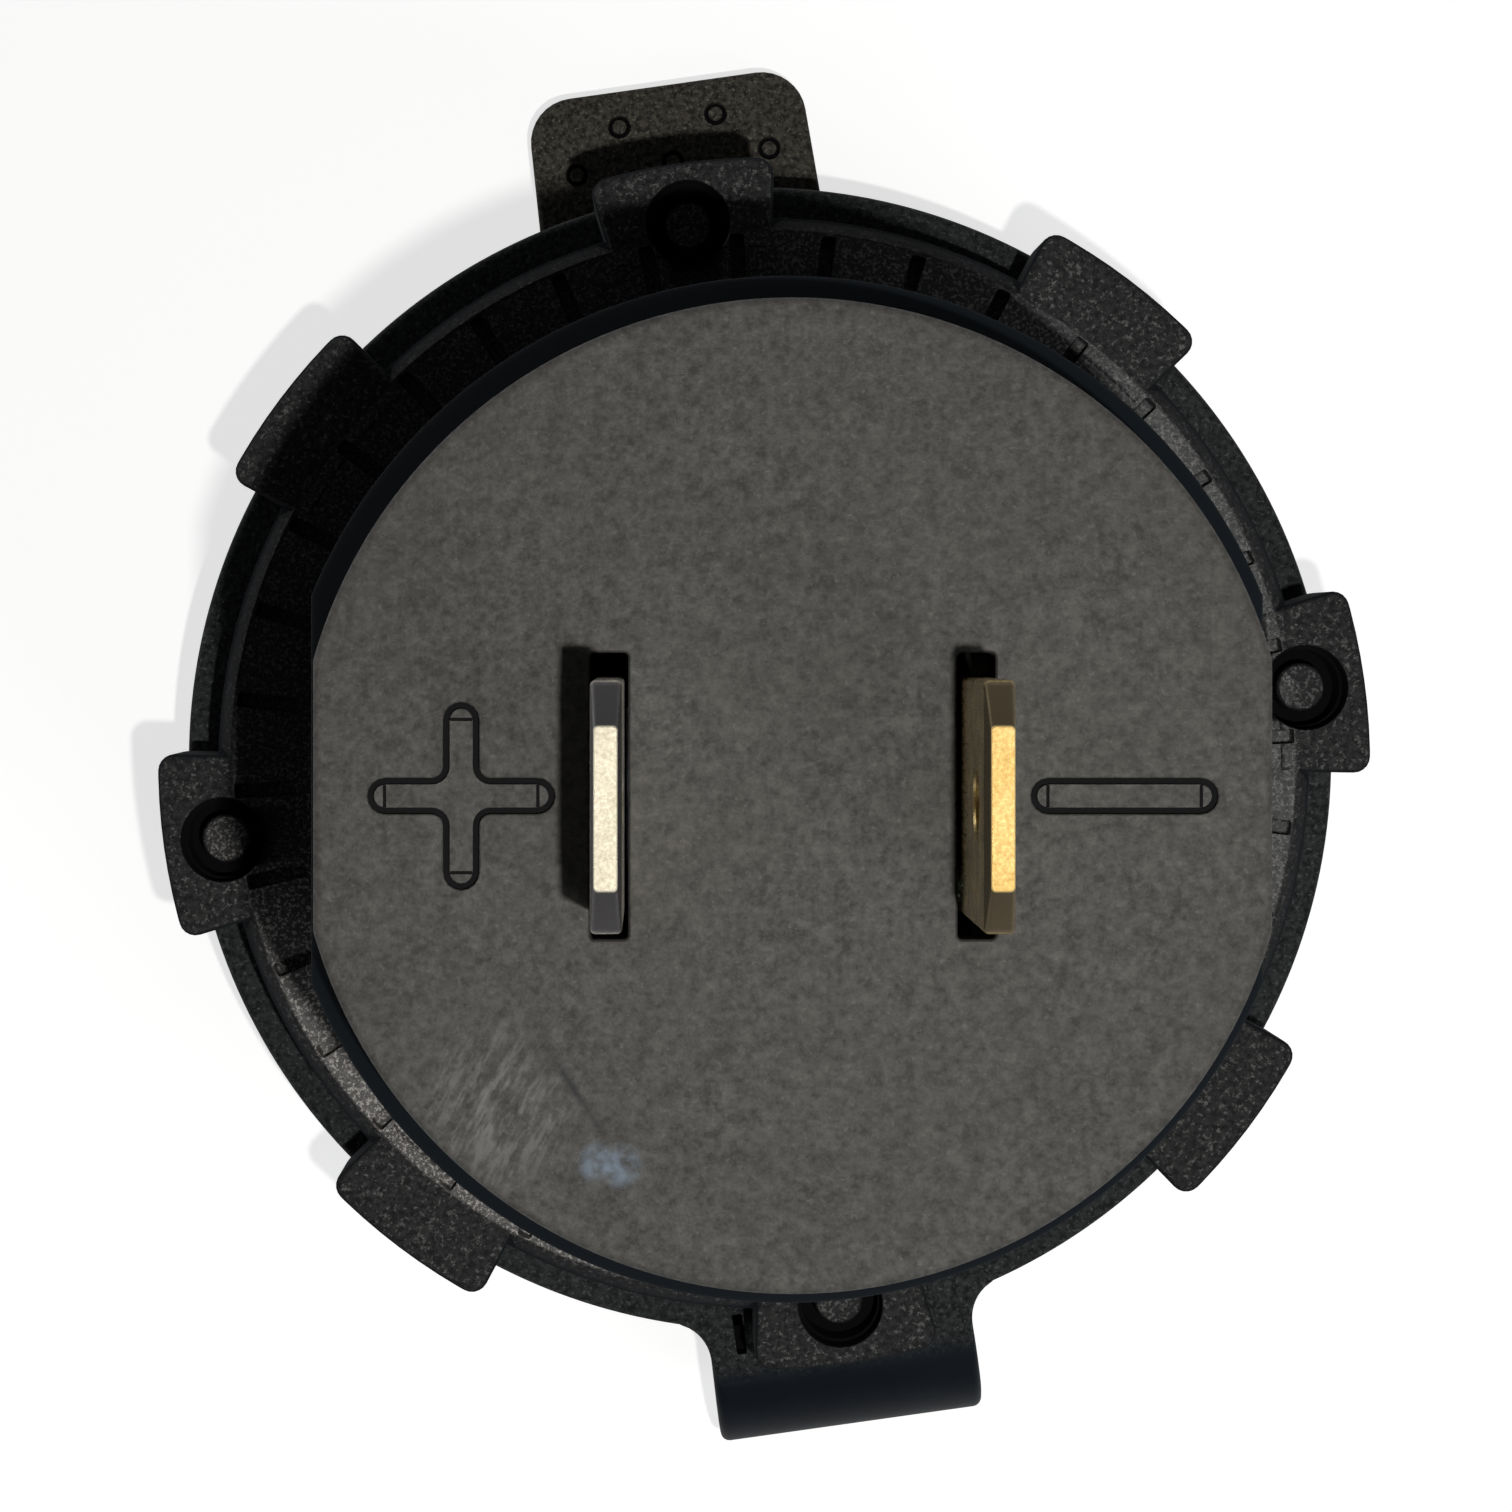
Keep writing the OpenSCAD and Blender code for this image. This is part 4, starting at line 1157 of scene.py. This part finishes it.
# Each row: dark and light colour, stain, and the painted shade of the bevels.
BLADES = {
    "blade_nickel": ((0.8, 0.75, 0.62), (0.88, 0.83, 0.7), (0.4, 0.37, 0.33), (0.11, 0.105, 0.105)),
    "blade_brass": ((0.86, 0.65, 0.27), (0.93, 0.72, 0.34), (0.3, 0.22, 0.1), (0.14, 0.11, 0.065)),
}
# Dark and light colour, then the specks.
LID_RUBBER = ((0.017, 0.0155, 0.013), (0.078, 0.072, 0.058), (0.2, 0.19, 0.155))
RING_RUBBER = ((0.008, 0.0088, 0.009), (0.034, 0.037, 0.038), (0.1, 0.106, 0.106))
# Painted shade: the near-black colour of the strap's fold.
PAINTED_FOLD_SHADE = (0.003, 0.0055, 0.009)


def cover_finish():
    """Sand-textured grey-brown plastic with a scuff, a scratch and some streaks of rubbing wear, painted
    lighter as a sheen.
    """
    shader = Shader("cover_plastic", (0.06, 0.057, 0.052), 0.75, specular=0.4)
    medium = shader.noise(0.55, detail=3)
    tone = shader.weigh(shader.noise(0.2, detail=3, roughness=0.65), medium, 0.65)
    base = shader.mix(shader.span(tone, 0.36, 0.64), (0.036, 0.035, 0.033), (0.088, 0.085, 0.077))
    warmth = shader.span(shader.noise(5, detail=2), 0.35, 0.7, 0, 0.3)
    base = shader.mix(warmth, base, (0.066, 0.06, 0.05))
    base = shader.speckled(base, (0.16, 0.155, 0.145), 0.34, 0.3, 0.35)
    streaks = shader.noise(1.0, detail=3, roughness=0.6, stretch=(1.1, 4.5, 1), turn=radians(62))
    # Streaks of rubbing wear near the lower left of the plate, made lighter in colour as a painted sheen.
    worn_and_sheen = shader.span(shader.near((-7.9, -8.4, COVER_TOP), 2.9), 0, 0.8)
    rubbed_and_sheen = shader.times(worn_and_sheen, shader.span(streaks, 0.46, 0.62))
    base = shader.mix(shader.times(rubbed_and_sheen, 0.6), base, (0.2, 0.2, 0.195))
    spot = shader.most(*(shader.near((x, y, COVER_TOP), 0.7) for x, y in ((-5.1, -9.75), (-4.6, -9.8))))
    ragged = shader.span(shader.noise(0.6, detail=3), 0.36, 0.6)
    scuff = shader.times(shader.span(spot, 0.05, 0.6), ragged)
    base = shader.mix(shader.times(scuff, 0.85), base, (0.17, 0.22, 0.28))
    bend = (-5.8, -7.8, COVER_TOP)
    scratch = shader.most(shader.near_line((-6.5, -6.7, COVER_TOP), bend, 0.24),
                          shader.near_line(bend, (-5.05, -8.9, COVER_TOP), 0.16))
    scratch = shader.times(scratch, shader.span(medium, 0.35, 0.6, 0.25, 1))
    base = shader.mix(shader.times(scratch, 0.95), base, (0.017, 0.018, 0.02))
    shader.grooved(base, shader.span(tone, 0.35, 0.65, 0.8, 0.66))
    shader.bump(tone, 0.05)
    return shader


def housing_finish():
    """Smooth dark nylon; the barrel's chamfered end is dull and painted a little darker as shade."""
    shader = smooth_plastic("housing_nylon", (0.007, 0.010, 0.014), (0.013, 0.017, 0.023), 0.5, 0.1)
    end = shader.attribute("end")
    # Painted shade: the chamfered end's colour is a little darker than the rest of the barrel.
    shader.colour(shader.mix(end, shader.base, (0.006, 0.009, 0.0125)))
    shader.roughness(shader.most(shader.rough, shader.times(end, 0.9)))
    return shader


def nut_finish():
    """Spark-eroded lugs round a glossier, sparkling dish with a painted sheen towards the lower left; the
    walls are smooth and painted dark as shade.
    """
    shader = Shader("nut_nylon", (0.028, 0.028, 0.028), 0.6, specular=0.15)
    fine = shader.noise(0.22, detail=3, roughness=0.65)
    wall = shader.attribute("wall")
    matte = shader.mix(shader.span(fine, 0.38, 0.62), (0.008, 0.008, 0.009), (0.034, 0.034, 0.034))
    matte = shader.speckled(matte, (0.135, 0.135, 0.13), 0.3, 0.42, 0.85)
    # Painted shade: the nut's walls and the rim's chamfer are coloured near-black.
    matte = shader.mix(wall, matte, (0.007, 0.009, 0.0115))
    # Painted sheen: the dish's colour and specks turn lighter towards the lower left of the nut.
    painted_sheen = shader.span(shader.near((-12.5, -12.5, NUT_Z1), 17), 0.2, 0.7)
    speck = shader.mix(painted_sheen, (0.13, 0.128, 0.125), (0.4, 0.375, 0.345))
    glossy = shader.mix(painted_sheen, (0.027, 0.027, 0.028), (0.062, 0.06, 0.059))
    glossy = shader.mix(shader.specks(0.22, 0.56), glossy, speck)
    in_dish = shader.span(shader.radius(), (DISH_R - 0.1) * MM, (DISH_R - 0.02) * MM, 1, 0)
    gloss = shader.most(in_dish, shader.attribute("island"))
    rough = shader.mix(gloss, (0.72, 0.72, 0.72), (0.4, 0.4, 0.4))
    rough = shader.math("ADD", rough, shader.span(fine, 0.3, 0.7, -0.08, 0.08))
    shader.grooved(shader.mix(gloss, matte, glossy), shader.most(rough, shader.times(wall, 0.95)))
    soft = shader.most(shader.times(gloss, 0.5), shader.times(wall, 0.85))
    shader.bump(shader.times(fine, shader.math("SUBTRACT", 1.0, soft)), 0.05)
    return shader


def rubber_finish(name, dark, light, bloom, fold_shade=None):
    """Moulded rubber with a fine matte texture and a speckled bloom; a fold is smooth and painted dark as
    shade.
    """
    roughness = 0.74
    shader = Shader(name, light, roughness, specular=0.12)
    fine = shader.noise(0.22, detail=3, roughness=0.65)
    dust = shader.noise(1.7, detail=4)
    base = shader.mix(shader.span(fine, 0.38, 0.62), dark, light)
    base = shader.mix(shader.span(dust, 0.5, 0.75, 0, 0.25), base, light)
    base = shader.speckled(base, bloom, 0.28, 0.4, 0.7)
    rough = shader.span(fine, 0.3, 0.7, roughness - 0.08, roughness + 0.06)
    grain = fine
    if fold_shade:
        # The fold is smoother, and its colour is painted darker as shade.
        mask = shader.attribute("fold")
        haze = shader.mix(shader.span(dust, 0.35, 0.65), fold_shade, tuple(v * 1.5 for v in fold_shade))
        base = shader.mix(mask, base, haze)
        rough = shader.span(mask, 0, 1, roughness, 0.62)
        grain = shader.times(fine, shader.span(mask, 0, 1, 1, 0.1))
    shader.grooved(base, rough)
    shader.bump(grain, 0.05)
    return shader


def blade_finish(name, dark, light, stain, bevel_shade):
    """Rolled blade metal: bright sheared tip, bevels painted dark as shade and rougher, tarnish below, and
    painted shade inside the socket.
    """
    shader = rolled_metal(name, dark, light, 0.32, grain=(14, 14, 1))
    clean = shader.base
    height = shader.node("SeparateXYZ", shader.coords).outputs["Z"]
    bevel = shader.span(height, (TIP_Z0 - 0.1) * MM, TIP_Z0 * MM)
    sheared = shader.span(height, (BLADE_TOP - 0.06) * MM, (BLADE_TOP - 0.02) * MM)
    # Painted shade: the blade turns near-black below the cover plate, inside the socket.
    inside = shader.span(height, (COVER_TOP - PLATE_T - 0.6) * MM, (COVER_TOP - PLATE_T) * MM, 1, 0)
    patches = shader.noise(0.9, detail=5, roughness=0.65)
    base = shader.mix(shader.span(patches, 0.36, 0.62, 0.15, 0.85), clean, stain)
    # Painted shade: the tip's bevels are coloured dark.
    base = shader.mix(bevel, base, bevel_shade)
    base = shader.mix(sheared, base, clean)
    shader.colour(shader.mix(inside, base, (0.012, 0.011, 0.010)))
    rough = shader.rough
    for mask, rise in ((bevel, 0.16), (sheared, 0.31), (inside, 0.4)):
        rough = shader.math("ADD", rough, shader.times(mask, rise))
    shader.roughness(rough)
    return shader


def board_finish():
    """Solder resist over woven glass with faint tracks."""
    shader = Shader("board_laminate", (0.02, 0.13, 0.06), 0.35)
    weave = shader.noise(0.35, detail=1, stretch=(1, 6, 1))
    cross = shader.noise(0.35, detail=1, stretch=(6, 1, 1))
    base = shader.mix(shader.span(shader.cells(2.4, 0.4), 0.3, 0.42), (0.03, 0.19, 0.09), (0.014, 0.11, 0.05))
    threads = shader.span(shader.most(weave, cross), 0.5, 0.7, 0, 0.4)
    shader.colour(shader.mix(threads, base, (0.03, 0.16, 0.08)))
    shader.bump(shader.math("ADD", weave, cross), 0.01)
    return shader


def clear_finish(name, colour, roughness):
    """Clear moulded resin with a little haze."""
    shader = Shader(name, colour, roughness)
    shader.feed(shader.surface, Transmission_Weight=0.85, IOR=1.49)
    haze = shader.noise(0.8, detail=4)
    shader.colour(shader.mix(haze, colour, tuple(v * 0.92 for v in colour)))
    shader.roughness(shader.span(haze, 0.3, 0.7, roughness, roughness + 0.1))
    return shader


def make_finishes():
    """Every material of the part, by the record's slot."""
    finishes = {
        "housing_nylon": housing_finish(),
        "nut_nylon": nut_finish(),
        "washer_plastic": smooth_plastic("washer_plastic", (0.03, 0.031, 0.033), (0.042, 0.043, 0.045), 0.45),
        "cover_plastic": cover_finish(),
        "clear_acrylic": clear_finish("clear_acrylic", (0.85, 0.92, 0.96), 0.08),
        "board_laminate": board_finish(),
        "led_resin": clear_finish("led_resin", (0.62, 0.8, 0.96), 0.12),
        "cap_rubber": rubber_finish("cap_rubber", *LID_RUBBER),
    }
    for rows, finish in ((GRAINED, grained_plastic), (ROLLED, rolled_metal), (BLADES, blade_finish)):
        finishes.update((name, finish(name, *row)) for name, row in rows.items())
    return finishes


# ---------- the whole part


def carry_over():
    """Gives the CAD nodes that stay the finish of their own slot."""
    for row in frame["record"]["subparts"]:
        node = frame["nodes"][row["node"]]
        if node.hide_render:
            continue
        shader = FINISHES[row["material_slot"]]
        for material_slot in node.material_slots:
            material_slot.material = shader.material


def build():
    """Every piece of the part, and the finish of the CAD nodes that stay."""
    make_housing()
    make_cover()
    make_blade("blade_plus", -BLADE_X, "terminal_positive", "blade_nickel")
    make_blade("blade_minus", BLADE_X, "terminal_negative", "blade_brass")
    make_nut()
    make_washer()
    make_cap_ring()
    make_strap()
    make_lid()
    make_face()
    make_light_pipe()
    for end, y in (("upper", PORT_Y), ("lower", -PORT_Y)):
        make_port_shell(end, y)
        make_tongue(end, y)
        make_contacts(end, y)
    carry_over()


FINISHES = make_finishes()
build()
add_camera()
add_lights()
add_floor()
bpy.context.scene.view_settings.view_transform = "Standard"
